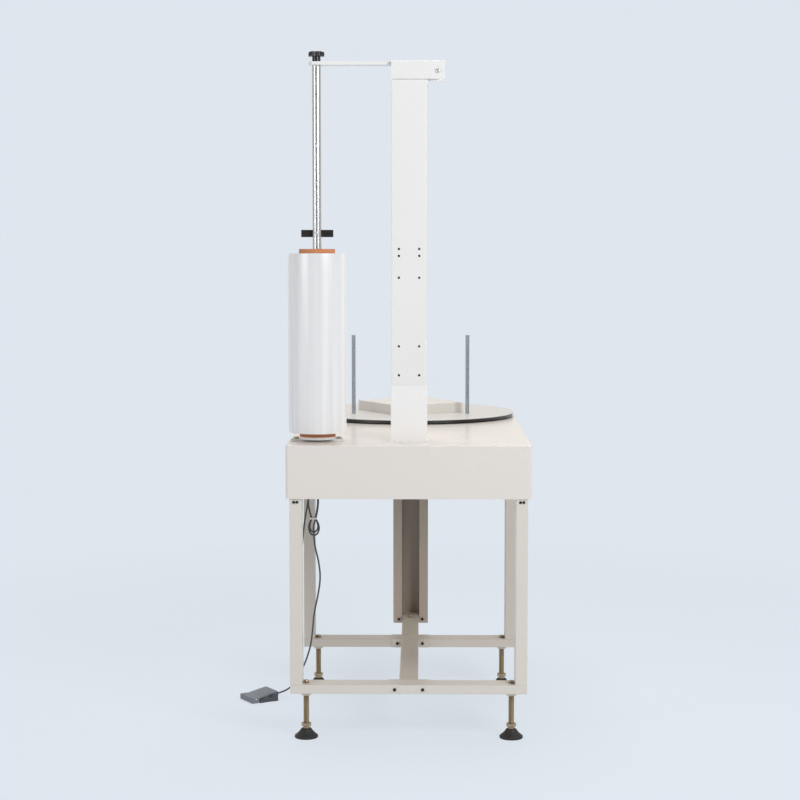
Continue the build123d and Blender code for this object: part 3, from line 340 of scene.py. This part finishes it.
# %% Rubber and plastic finishes
def moulded(name, light, dark, roughness, grain, relief_strength):
    finish, tree, shader, place = new_finish(name, roughness)
    grains = add(tree, "ShaderNodeTexNoise", {"Vector": place, "Scale": 1 / grain, "Detail": 2.0})
    patches = add(tree, "ShaderNodeTexNoise", {"Vector": place, "Scale": 1 / (30 * MM), "Detail": 3.0})
    tone = add(tree, "ShaderNodeMix", {
        "Factor": patches.outputs["Fac"], COLOUR_A: linear(dark), COLOUR_B: linear(light),
    }, data_type="RGBA")
    tree.links.new(tone.outputs[COLOUR_OUT], shader.inputs["Base Color"])
    gloss = add(tree, "ShaderNodeMapRange", {
        "Value": patches.outputs["Fac"], "From Min": 0.3, "From Max": 0.7,
        "To Min": roughness - 0.05, "To Max": roughness + 0.06,
    })
    tree.links.new(gloss.outputs["Result"], shader.inputs["Roughness"])
    relief = add(tree, "ShaderNodeBump", {
        "Height": grains.outputs["Fac"], "Strength": relief_strength, "Distance": 0.2 * MM,
    })
    tree.links.new(relief.outputs["Normal"], shader.inputs["Normal"])
    return finish


foot_rubber = moulded("black_rubber_moulded", "2A2827", "1F1D1C", 0.55, 1.5 * MM, 0.25)
belt_rubber = moulded("belt_rubber_ground", "262626", "1B1B1B", 0.70, 0.8 * MM, 0.35)
cable_jacket = moulded("pvc_cable_jacket", "4E5052", "3F4143", 0.45, 1.0 * MM, 0.10)
knob_plastic = moulded("phenolic_black", "1E1F22", "141518", 0.28, 1.2 * MM, 0.05)
pedal_plastic = moulded("abs_slate_grained", "757B82", "6C7279", 0.46, 0.8 * MM, 0.20)
# The base and its tongue are the treadle's own slate plastic. This darker copy is painted shade for the
# base lying under the treadle.
pedal_base_painted_shade = moulded("abs_grained_painted_shade", "4C4E51", "3F4144", 0.55, 0.8 * MM, 0.25)
green_plastic = moulded("abs_green", "2E9B57", "268A4C", 0.32, 1.0 * MM, 0.05)
red_plastic = moulded("abs_red", "C4302A", "B22722", 0.32, 1.0 * MM, 0.05)
white_plastic = moulded("nylon_white", "E6E5E0", "DBD9D3", 0.42, 1.0 * MM, 0.10)

# %% Give each metal and plastic node its finish
finishes = {
    table_coat: ["table_housing", "control_box"],
    leg_coat_painted_shade: ["leg_front_left", "leg_front_right", "rail_front"],
    frame_coat_painted_shade: [
        "leg_rear_left", "leg_rear_right", "rail_rear", "spine_front", "spine_rear", "spine_cleats",
        "cable_bracket",
    ],
    post_coat_painted_shade: ["far_post", "cross_beams"],
    mast_coat: ["mast_tube", "mast_clevis", "arm_cap", "arm_bar"],
    sleeve_coat: ["mast_sleeve", "roll_flange", "roll_base_plate"],
    disc_coat_and_painted_shade: ["turntable_disc"],
    platform_coat: ["load_platform"],
    motor_coat: ["gearmotor"],
    bright_zinc: ["arm_pivot_bolt", "stop_screw"],
    chrome_plate: ["film_rod"],
    pin_plate: ["locating_pins"],
    dark_steel: ["stop_bar"],
    fastener_finish: ["frame_bolts"],
    turned_steel: ["turntable_hub"],
    cast_iron: ["bearing_housing", "driven_pulley", "drive_pulley"],
    belt_rubber: ["drive_belt"],
    knob_plastic: ["lock_knob", "power_rocker", "speed_knob", "cable_gland"],
    green_plastic: ["start_button"],
    red_plastic: ["stop_button"],
    white_plastic: ["core_bush", "cable_tie"],
    pedal_plastic: ["pedal_base", "pedal_treadle"],
    foot_rubber: [f"foot_{number}_pad" for number in range(1, 6)],
}
finishes[zinc_plate] = [f"foot_{number}_stud" for number in range(1, 6)]
for finish, names in finishes.items():
    for name in names:
        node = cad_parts[name]
        node.data.materials.clear()
        node.data.materials.append(finish)
print("finished nodes", sum(len(names) for names in finishes.values()))

# %% [markdown]
# ## Making a piece part of the machine
# A finished piece moves with one of the machine's bodies, takes its finish, and may stand for a plain
# engineering solid that is then not shown. One helper says all of that. The cable comes first.


# %% Piece helper, and the cable
def join_machine(piece, name, body, finish, replaced=()):
    piece.name = name
    piece.data.name = name
    piece.data.materials.clear()
    piece.data.materials.append(finish)
    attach(piece, body)
    if replaced:
        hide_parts(*replaced)
    return piece


join_machine(
    cable, "pedal_cable", "frame", cable_jacket, ("cable_feed", "cable_hank", "cable_tail")
)

# %% [markdown]
# ## Stretch film and its core
# The core is a cardboard tube wound from a spiral strip, and the film on it is hundreds of thin clear
# layers that together look milky white. Its ends are not a flat cut: the layers stand a little in and
# out. The roll could be a plain cylinder, but a ring that is extruded and resized from height to
# height can take those small steps.

# %% Helper for round pieces
def turned(axis, profile, sides):
    """A round piece about a vertical axis: one ring, extruded and resized to each radius and height."""
    bpy.ops.object.select_all(action="DESELECT")
    radius, height = profile[0]
    bpy.ops.mesh.primitive_circle_add(vertices=sides, radius=radius, location=(axis[0], axis[1], height))
    piece = bpy.context.object
    bpy.ops.object.mode_set(mode="EDIT")
    for (before, low), (after, high) in zip(profile, profile[1:]):
        bpy.ops.mesh.extrude_region_move(TRANSFORM_OT_translate={"value": (0, 0, high - low)})
        ratio = after / before
        bpy.ops.transform.resize(value=(ratio, ratio, 1), center_override=(axis[0], axis[1], high))
    bpy.ops.mesh.select_all(action="SELECT")
    bpy.ops.mesh.remove_doubles(threshold=0.001 * MM)
    bpy.ops.mesh.select_all(action="DESELECT")
    bpy.ops.mesh.select_non_manifold()
    bpy.ops.mesh.edge_face_add()
    bpy.ops.mesh.select_all(action="SELECT")
    bpy.ops.mesh.normals_make_consistent(inside=False)
    bpy.ops.object.mode_set(mode="OBJECT")
    bpy.ops.object.transform_apply(location=True, rotation=True, scale=True)
    bpy.ops.object.shade_smooth_by_angle(angle=math.radians(35))
    return piece


# %% [markdown]
# Film finish: clear layers scatter light, so the base is nearly white with a little light under the
# skin and a glossy surface. Long soft upright streaks are where the film was stretched unevenly.

# %% Film finish
STREAK = 16.0 * MM
film_finish, tree, shader, place = new_finish(
    "stretch_film_wound", 0.28, Coat_Weight=0.35, Coat_Roughness=0.15, Subsurface_Weight=0.2
)
shader.inputs["Subsurface Radius"].default_value = (0.01, 0.01, 0.012)
upright = add(tree, "ShaderNodeMapping", {"Vector": place, "Scale": (1.0, 1.0, 0.02)})
streaks = add(tree, "ShaderNodeTexNoise", {
    "Vector": upright.outputs["Vector"], "Scale": 1 / STREAK, "Detail": 3.0,
})
spread = add(tree, "ShaderNodeMapRange", {
    "Value": streaks.outputs["Fac"], "From Min": 0.3, "From Max": 0.7,
})
milky = add(tree, "ShaderNodeMix", {
    "Factor": spread.outputs["Result"], COLOUR_A: linear("DDDCDC"), COLOUR_B: linear("EAE9E9"),
}, data_type="RGBA")
tree.links.new(milky.outputs[COLOUR_OUT], shader.inputs["Base Color"])
ripple = add(tree, "ShaderNodeBump", {
    "Height": streaks.outputs["Fac"], "Strength": 0.2, "Distance": 0.5 * MM,
})
tree.links.new(ripple.outputs["Normal"], shader.inputs["Normal"])

# %% Film roll
low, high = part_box("film_wrap")
roll_axis = ((low.x + high.x) / 2, (low.y + high.y) / 2)
film_radius = (high.x - low.x) / 2
core_low, core_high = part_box("film_core")
core_radius = (core_high.x - core_low.x) / 2
END_STEPS = (0.0, 0.9, 0.3, 1.2, 0.5, 1.0, 0.2)
LAYER_STEPS = (0.25, 0.05, 0.3, 0.12, 0.4, 0.18, 0.02, 0.3, 0.1, 0.22, 0.35, 0.08, 0.28, 0.0)
END_SPAN = film_radius - core_radius - 1.5 * MM


def end_rings(height, direction):
    """The rings of one end of the roll, from the core outwards."""
    return [
        (core_radius + END_SPAN * index / len(END_STEPS), height + direction * step * MM)
        for index, step in enumerate(END_STEPS, start=1)
    ]


rings = [(core_radius + 0.2 * MM, low.z + 1.0 * MM)] + end_rings(low.z, 1)
for index, step in enumerate(LAYER_STEPS):
    share = (index + 0.2) / len(LAYER_STEPS)
    rings.append((film_radius - step * MM, low.z + 1.2 * MM + (high.z - low.z - 2.4 * MM) * share))
rings += reversed(end_rings(high.z, -1))
rings.append((core_radius + 0.2 * MM, high.z - 1.0 * MM))
rings.append(rings[0])
film = turned(roll_axis, rings, 128)
join_machine(film, "film_roll_layers", "film_roll", film_finish, ("film_wrap",))
print("film radius", round(film_radius, 4), "rings", len(rings))

# %% [markdown]
# Core finish: brown board, wound from a strip about 90 mm wide. The finish gives it soft patches of tone,
# and the board's fibres show as fine speckle.

# %% Core finish
core_finish, tree, shader, place = new_finish("spiral_wound_board", 0.85)
fibres = add(tree, "ShaderNodeTexNoise", {"Vector": place, "Scale": 1 / (1.5 * MM), "Detail": 5.0})
patches = add(tree, "ShaderNodeTexNoise", {"Vector": place, "Scale": 1 / (25 * MM), "Detail": 3.0})
board = add(tree, "ShaderNodeMix", {
    "Factor": patches.outputs["Fac"], COLOUR_A: linear("B0643C"), COLOUR_B: linear("C47A50"),
}, data_type="RGBA")
speck = add(tree, "ShaderNodeMix", {
    "Factor": fibres.outputs["Fac"], COLOUR_A: board.outputs[COLOUR_OUT], COLOUR_B: linear("C98E68"),
}, data_type="RGBA")
tree.links.new(speck.outputs[COLOUR_OUT], shader.inputs["Base Color"])
nap = add(tree, "ShaderNodeBump", {"Height": fibres.outputs["Fac"], "Strength": 0.4, "Distance": 0.3 * MM})
tree.links.new(nap.outputs["Normal"], shader.inputs["Normal"])
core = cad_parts["film_core"]
core.data.materials.clear()
core.data.materials.append(core_finish)

# %% [markdown]
# ## Levelling feet
# Each foot is a threaded stud with a nut to turn it by, in a rubber cone that spreads the load. A
# thread could be wound as a true helix, but its angle is too small to see, so rings of the same pitch
# stand for it. One foot is made, and the others are copies with their own meshes.

# %% Rubber cones
PAD_PROFILE = (
    (8.0, 25.6), (12.6, 26.0), (13.9, 25.3), (15.2, 23.0), (18.6, 18.6), (23.6, 13.2), (28.6, 9.0),
    (31.2, 7.0), (32.3, 5.6), (32.4, 2.0), (31.6, 0.4), (30.6, 0.0), (24.0, 0.0), (23.0, 1.4), (8.0, 1.4),
)


PAD_RADIUS = 32.5 * MM
NECK_RADIUS = 13


def middle(name):
    low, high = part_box(name)
    return (low + high) / 2


for number in range(1, 6):
    low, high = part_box(f"foot_{number}_pad")
    spread_by = (high.x - low.x) / 2 / PAD_RADIUS
    centre = middle(f"foot_{number}_pad")
    profile = [
        (radius * MM * (spread_by if radius > NECK_RADIUS else 1), z * MM) for radius, z in PAD_PROFILE
    ]
    pad = turned((centre.x, centre.y), profile, 64)
    join_machine(
        pad, f"foot_{number}_rubber", f"foot_{number}", foot_rubber, (f"foot_{number}_pad",)
    )
print("rubber cones", number)

# %% Threaded studs with their nuts
THREAD_PITCH = 2.0
THREAD_DEPTH = 0.9
THREAD_BASE = 42.0
STUD_RADIUS = 8.0
CREST_RADIUS = 7.95
stud_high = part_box("foot_1_stud")[1]
stud_axis = middle("foot_1_stud")
threads = int((stud_high.z / MM - 1.5 - THREAD_BASE) / THREAD_PITCH)
root = STUD_RADIUS - THREAD_DEPTH
rings = [(7.0, 18.0), (9.8, 26.0), (10.0, 27.5), (10.0, 31.5), (root, THREAD_BASE)]
for index in range(threads):
    base = THREAD_BASE + THREAD_PITCH * index
    rings += [(CREST_RADIUS, base + THREAD_PITCH / 2), (root, base + THREAD_PITCH)]
rings.append((6.0, stud_high.z / MM - 0.2))
stud = turned((stud_axis.x, stud_axis.y), [(radius * MM, z * MM) for radius, z in rings], 24)


def hexagon_nut(centre, across_flats, low, high):
    """A hexagon with its corners eased, as a pressed nut's are."""
    bpy.ops.object.select_all(action="DESELECT")
    bpy.ops.mesh.primitive_cylinder_add(
        vertices=6, radius=across_flats / 2 / math.cos(math.pi / 6), depth=high - low,
        location=(centre[0], centre[1], (low + high) / 2), rotation=(0, 0, math.pi / 6),
    )
    nut = bpy.context.object
    bpy.ops.object.mode_set(mode="EDIT")
    bpy.ops.mesh.select_all(action="SELECT")
    bpy.ops.mesh.bevel(offset=0.8 * MM, segments=2, affect="EDGES")
    bpy.ops.object.mode_set(mode="OBJECT")
    bpy.ops.object.transform_apply(location=True, rotation=True, scale=True)
    return nut


nut = hexagon_nut(stud_axis, 23.6 * MM, 32.0 * MM, THREAD_BASE * MM)
bpy.ops.object.select_all(action="DESELECT")
nut.select_set(True)
stud.select_set(True)
bpy.context.view_layer.objects.active = stud
bpy.ops.object.join()
stud.name = "foot_1_threaded_stud"
print("threads", threads, "faces", len(stud.data.polygons))

# %% Copy the stud to each foot
for number in range(1, 6):
    shift = middle(f"foot_{number}_stud") - stud_axis
    piece = stud if number == 1 else stud.copy()
    if number > 1:
        piece.data = stud.data.copy()
        piece.data.transform(Matrix.Translation(shift))
        piece.parent = None
        bpy.context.scene.collection.objects.link(piece)
    name = f"foot_{number}_threaded_stud"
    join_machine(piece, name, f"foot_{number}", zinc_plate, (f"foot_{number}_stud",))

# %% [markdown]
# ## The foot pedal
# The pedal is two mouldings. The treadle has a deep toe that wraps round the pivot, a flat tread, and
# a deck that rises to the heel. The base has a plate, two side walls with a curved top edge that the
# deck drops between, and two small flared feet under the heel. Both could be cut from solid blocks,
# but a toe block whose rear face is extruded backwards, station by station, gives the same clean
# edges as the moulds. They are made toe to the left and heel to the right, then turned.

# %% Pedal helpers
PEDAL_TURN = math.radians(33)
PEDAL_HALF = 38.0 * MM
TOE = -44.0 * MM
HEEL = 44.0 * MM
PEDAL_PLACE = Vector((-451.0 * MM, -491.0 * MM, 0))
print("pedal at", [round(v, 4) for v in PEDAL_PLACE])


def block(low, high):
    """A block between two corners, left in edit mode with nothing selected."""
    bpy.ops.object.select_all(action="DESELECT")
    centre = [(a + b) / 2 for a, b in zip(low, high)]
    size = [b - a for a, b in zip(low, high)]
    bpy.ops.mesh.primitive_cube_add(size=1, location=centre, scale=size)
    bpy.ops.object.transform_apply(location=True, rotation=True, scale=True)
    bpy.ops.object.mode_set(mode="EDIT")
    bpy.ops.mesh.select_all(action="DESELECT")
    return bpy.context.object


def pick_faces(piece, wanted):
    """Selects the faces whose centre and normal pass the test."""
    bpy.ops.object.mode_set(mode="OBJECT")
    for face in piece.data.polygons:
        face.select = wanted(face.center, face.normal)
    bpy.ops.object.mode_set(mode="EDIT")
    bpy.ops.mesh.select_mode(type="FACE")
    return sum(face.select for face in piece.data.polygons)


def cut(place, normal):
    """Cuts every face of the piece in edit mode along a plane."""
    bpy.ops.mesh.select_all(action="SELECT")
    bpy.ops.mesh.bisect(plane_co=place, plane_no=normal)
    bpy.ops.mesh.select_all(action="DESELECT")


def ease_edges(piece, width):
    """Rounds the edges that a mould would round, and shades what is left smooth."""
    bpy.ops.object.mode_set(mode="OBJECT")
    rounding = piece.modifiers.new("eased_edges", "BEVEL")
    rounding.width = width
    rounding.segments = 3
    rounding.limit_method = "ANGLE"
    rounding.angle_limit = math.radians(28)
    bpy.ops.object.modifier_apply(modifier=rounding.name)
    bpy.ops.object.mode_set(mode="EDIT")
    bpy.ops.mesh.select_all(action="SELECT")
    bpy.ops.mesh.normals_make_consistent(inside=False)
    bpy.ops.object.mode_set(mode="OBJECT")
    bpy.ops.object.shade_smooth_by_angle(angle=math.radians(35))


def put_on_floor(piece):
    """Turns a pedal piece and moves it to where the pedal lies."""
    piece.rotation_euler = (0, 0, PEDAL_TURN)
    piece.location = PEDAL_PLACE
    bpy.ops.object.select_all(action="DESELECT")
    piece.select_set(True)
    bpy.context.view_layer.objects.active = piece
    bpy.ops.object.transform_apply(location=True, rotation=True, scale=True)


# %% Treadle
DECK_HALF = PEDAL_HALF - 3.7 * MM
DECK_BASE = 11.0 * MM
TOE_BACK = -19.0 * MM
treadle = block((TOE, -PEDAL_HALF, 2.0 * MM), (TOE_BACK, PEDAL_HALF, 18.0 * MM))
cut((0, 0, DECK_BASE), (0, 0, 1))
cut((0, DECK_HALF, 0), (0, 1, 0))
cut((0, -DECK_HALF, 0), (0, 1, 0))
pick_faces(treadle, lambda c, n: n.x > 0.9 and c.z > DECK_BASE and abs(c.y) < DECK_HALF)
# each station is the way back, the lift, and how much the deck's section grows in height
for back, lift, growth in ((9.0, 2.2, 1.05), (20.0, 4.0, 1.0), (26.0, 4.6, 0.95), (6.5, 0.9, 0.9)):
    bpy.ops.mesh.extrude_region_move(TRANSFORM_OT_translate={"value": (back * MM, 0, lift * MM)})
    bpy.ops.transform.resize(value=(1, 1, growth))
bpy.ops.mesh.extrude_region_move(TRANSFORM_OT_translate={"value": (1.5 * MM, 0, -1.0 * MM)})
bpy.ops.transform.resize(value=(1, 1, 0.6))
pick_faces(treadle, lambda c, n: n.z < -0.9 and c.z < 3 * MM)
bpy.ops.mesh.dissolve_faces()
bpy.ops.mesh.inset(thickness=3.0 * MM)
bpy.ops.mesh.extrude_region_move(TRANSFORM_OT_translate={"value": (0, 0, 12.5 * MM)})
ease_edges(treadle, 1.6 * MM)
put_on_floor(treadle)
join_machine(
    treadle, "pedal_tread_moulding", "pedal_treadle", pedal_plastic, ("pedal_treadle",)
)
print("treadle faces", len(treadle.data.polygons))

# %% Base
WALL = 3.2 * MM
base = block((TOE_BACK + 1.5 * MM, -PEDAL_HALF, 0.0), (HEEL, PEDAL_HALF, 6.0 * MM))
cut((0, PEDAL_HALF - WALL, 0), (0, 1, 0))
cut((0, WALL - PEDAL_HALF, 0), (0, 1, 0))
for station in (-6.0, 6.0, 18.0, 30.0):
    cut((station * MM, 0, 0), (1, 0, 0))
pick_faces(base, lambda c, n: n.z > 0.9 and abs(c.y) > PEDAL_HALF - WALL)
bpy.ops.mesh.extrude_region_move(TRANSFORM_OT_translate={"value": (0, 0, 1.5 * MM)})
bpy.ops.object.mode_set(mode="OBJECT")
for point in base.data.vertices:
    if point.co.z > 7.0 * MM:
        along = (point.co.x - TOE_BACK) / (HEEL - TOE_BACK)
        point.co.z += 15.5 * MM * math.sin(along * math.pi / 2)
bpy.ops.object.mode_set(mode="EDIT")
pick_faces(
    base,
    lambda c, n: abs(n.y) > 0.9 and abs(c.y) > PEDAL_HALF - MM and c.x > 36 * MM and c.z < 6 * MM,
)
bpy.ops.mesh.extrude_region_move(TRANSFORM_OT_translate={"value": (0, 0, 0)})
bpy.ops.transform.resize(value=(1, 1 + 2.0 * MM / PEDAL_HALF, 0.8), center_override=(0, 0, 0))
ease_edges(base, 0.8 * MM)

# %% Tongue under the toe, pivot pin and cable boot
TONGUE_HALF = PEDAL_HALF - 5.5 * MM
tongue = block((TOE + 4.5 * MM, -TONGUE_HALF, 0.0), (TOE_BACK + 3.0 * MM, TONGUE_HALF, 8.0 * MM))
ease_edges(tongue, 0.8 * MM)
PIVOT_ALONG = -30.0 * MM
PIVOT_HEIGHT = 14.0 * MM
BOOT_HEIGHT = 12.0 * MM
RIB_PITCH = 4.0
bpy.ops.object.select_all(action="DESELECT")
bpy.ops.mesh.primitive_cylinder_add(
    vertices=32, radius=2.4 * MM, depth=2 * PEDAL_HALF + 1.4 * MM,
    location=(PIVOT_ALONG, 0, PIVOT_HEIGHT), rotation=(math.pi / 2, 0, 0),
)
pin = bpy.context.object
bpy.ops.object.transform_apply(location=True, rotation=True, scale=True)
ease_edges(pin, 0.5 * MM)
bpy.ops.object.select_all(action="DESELECT")
bpy.ops.mesh.primitive_cone_add(
    vertices=32, radius1=4.6 * MM, radius2=3.3 * MM, depth=14.0 * MM,
    location=(HEEL + 6.6 * MM, 0, BOOT_HEIGHT), rotation=(0, math.pi / 2, 0),
)
boot = bpy.context.object
bpy.ops.object.transform_apply(location=True, rotation=True, scale=True)
for ring in range(3):
    bpy.ops.object.mode_set(mode="EDIT")
    for edge in (2.4 + RIB_PITCH * ring, 4.0 + RIB_PITCH * ring):
        cut((HEEL + edge * MM, 0, 0), (1, 0, 0))
    groove = HEEL + (3.2 + RIB_PITCH * ring) * MM
    pick_faces(boot, lambda c, n: abs(c.x - groove) < 0.5 * MM and abs(n.x) < 0.5)
    bpy.ops.transform.resize(value=(1, 0.84, 0.84), center_override=(groove, 0, BOOT_HEIGHT))
    bpy.ops.object.mode_set(mode="OBJECT")
ease_edges(boot, 0.3 * MM)
for piece in (base, tongue, pin, boot):
    put_on_floor(piece)
join_machine(base, "pedal_base_moulding", "frame", pedal_base_painted_shade, ("pedal_base",))
join_machine(tongue, "pedal_base_tongue", "frame", pedal_base_painted_shade)
join_machine(pin, "pedal_pivot_pin", "frame", bright_zinc)
join_machine(boot, "pedal_cable_boot", "frame", foot_rubber)
print("base faces", len(base.data.polygons))

# %% [markdown]
# ## Floor and light
# The machine stands on a pale blue-grey floor that runs into a backdrop of the same colour. One wide
# soft light stands high on the right, a weaker one on the left, and a square one hangs above.

# %% Floor
BACKDROP = "DFE6EE"
bpy.ops.object.select_all(action="DESELECT")
bpy.ops.mesh.primitive_circle_add(vertices=96, radius=40.0, fill_type="NGON", location=(0, 0, 0))
floor = bpy.context.object
floor.name = "studio_floor"
floor_finish, tree, shader, place = new_finish("painted_studio_floor", 0.9, Specular_IOR_Level=0.0)
distance = add(tree, "ShaderNodeVectorMath", {0: place}, operation="LENGTH")
away = add(tree, "ShaderNodeMapRange", {
    "Value": distance.outputs["Value"], "From Min": 0.9, "From Max": 2.6,
})
wash = add(tree, "ShaderNodeMix", {
    "Factor": away.outputs["Result"], COLOUR_A: linear("72777C"), COLOUR_B: linear("000000"),
}, data_type="RGBA")
tree.links.new(wash.outputs[COLOUR_OUT], shader.inputs["Base Color"])
shader.inputs["Emission Color"].default_value = linear(BACKDROP)
glow = add(tree, "ShaderNodeMapRange", {"Value": away.outputs["Result"], "To Min": 0.76, "To Max": 1.0})
tree.links.new(glow.outputs["Result"], shader.inputs["Emission Strength"])
floor.data.materials.append(floor_finish)

# %% Backdrop
world = bpy.data.worlds.new("studio_backdrop")
bpy.context.scene.world = world
world.use_nodes = True
sky = world.node_tree
sky.nodes.clear()
direction = add(sky, "ShaderNodeTexCoord").outputs["Generated"]
split = add(sky, "ShaderNodeSeparateXYZ", {"Vector": direction})
far = add(sky, "ShaderNodeMapRange", {"Value": split.outputs["Y"], "From Min": -0.7, "From Max": 0.5})
room = add(sky, "ShaderNodeMix", {
    "Factor": far.outputs["Result"], COLOUR_A: linear("4C4B4A"), COLOUR_B: linear("E3E1DE"),
}, data_type="RGBA")
seen = add(sky, "ShaderNodeLightPath").outputs["Is Camera Ray"]
shown = add(sky, "ShaderNodeMix", {
    "Factor": seen, COLOUR_A: room.outputs[COLOUR_OUT], COLOUR_B: linear(BACKDROP),
}, data_type="RGBA")
backdrop = add(sky, "ShaderNodeBackground", {"Color": shown.outputs[COLOUR_OUT], "Strength": 1.0})
add(sky, "ShaderNodeOutputWorld", {"Surface": backdrop.outputs["Background"]})


# %% Soft lights
def soft_light(name, place, target, size, power):
    bpy.ops.object.select_all(action="DESELECT")
    bpy.ops.object.light_add(type="AREA", location=place)
    lamp = bpy.context.object
    lamp.name = name
    lamp.data.shape = "RECTANGLE"
    lamp.data.size, lamp.data.size_y = size
    lamp.data.energy = power
    aim = Vector(target) - Vector(place)
    lamp.rotation_euler = aim.to_track_quat("-Z", "Y").to_euler()
    return lamp


soft_light("key_softbox", (2.6, -4.2, 3.0), (0, -0.5, 0.9), (2.0, 2.4), 150)
soft_light("fill_softbox", (-3.4, -3.6, 2.2), (0, -0.5, 0.9), (1.8, 2.2), 50)
soft_light("top_softbox", (0.0, 0.2, 4.2), (0, -0.3, 0.8), (2.4, 2.4), 70)
bpy.context.scene.view_settings.view_transform = "Standard"
bpy.context.scene.view_settings.look = "None"
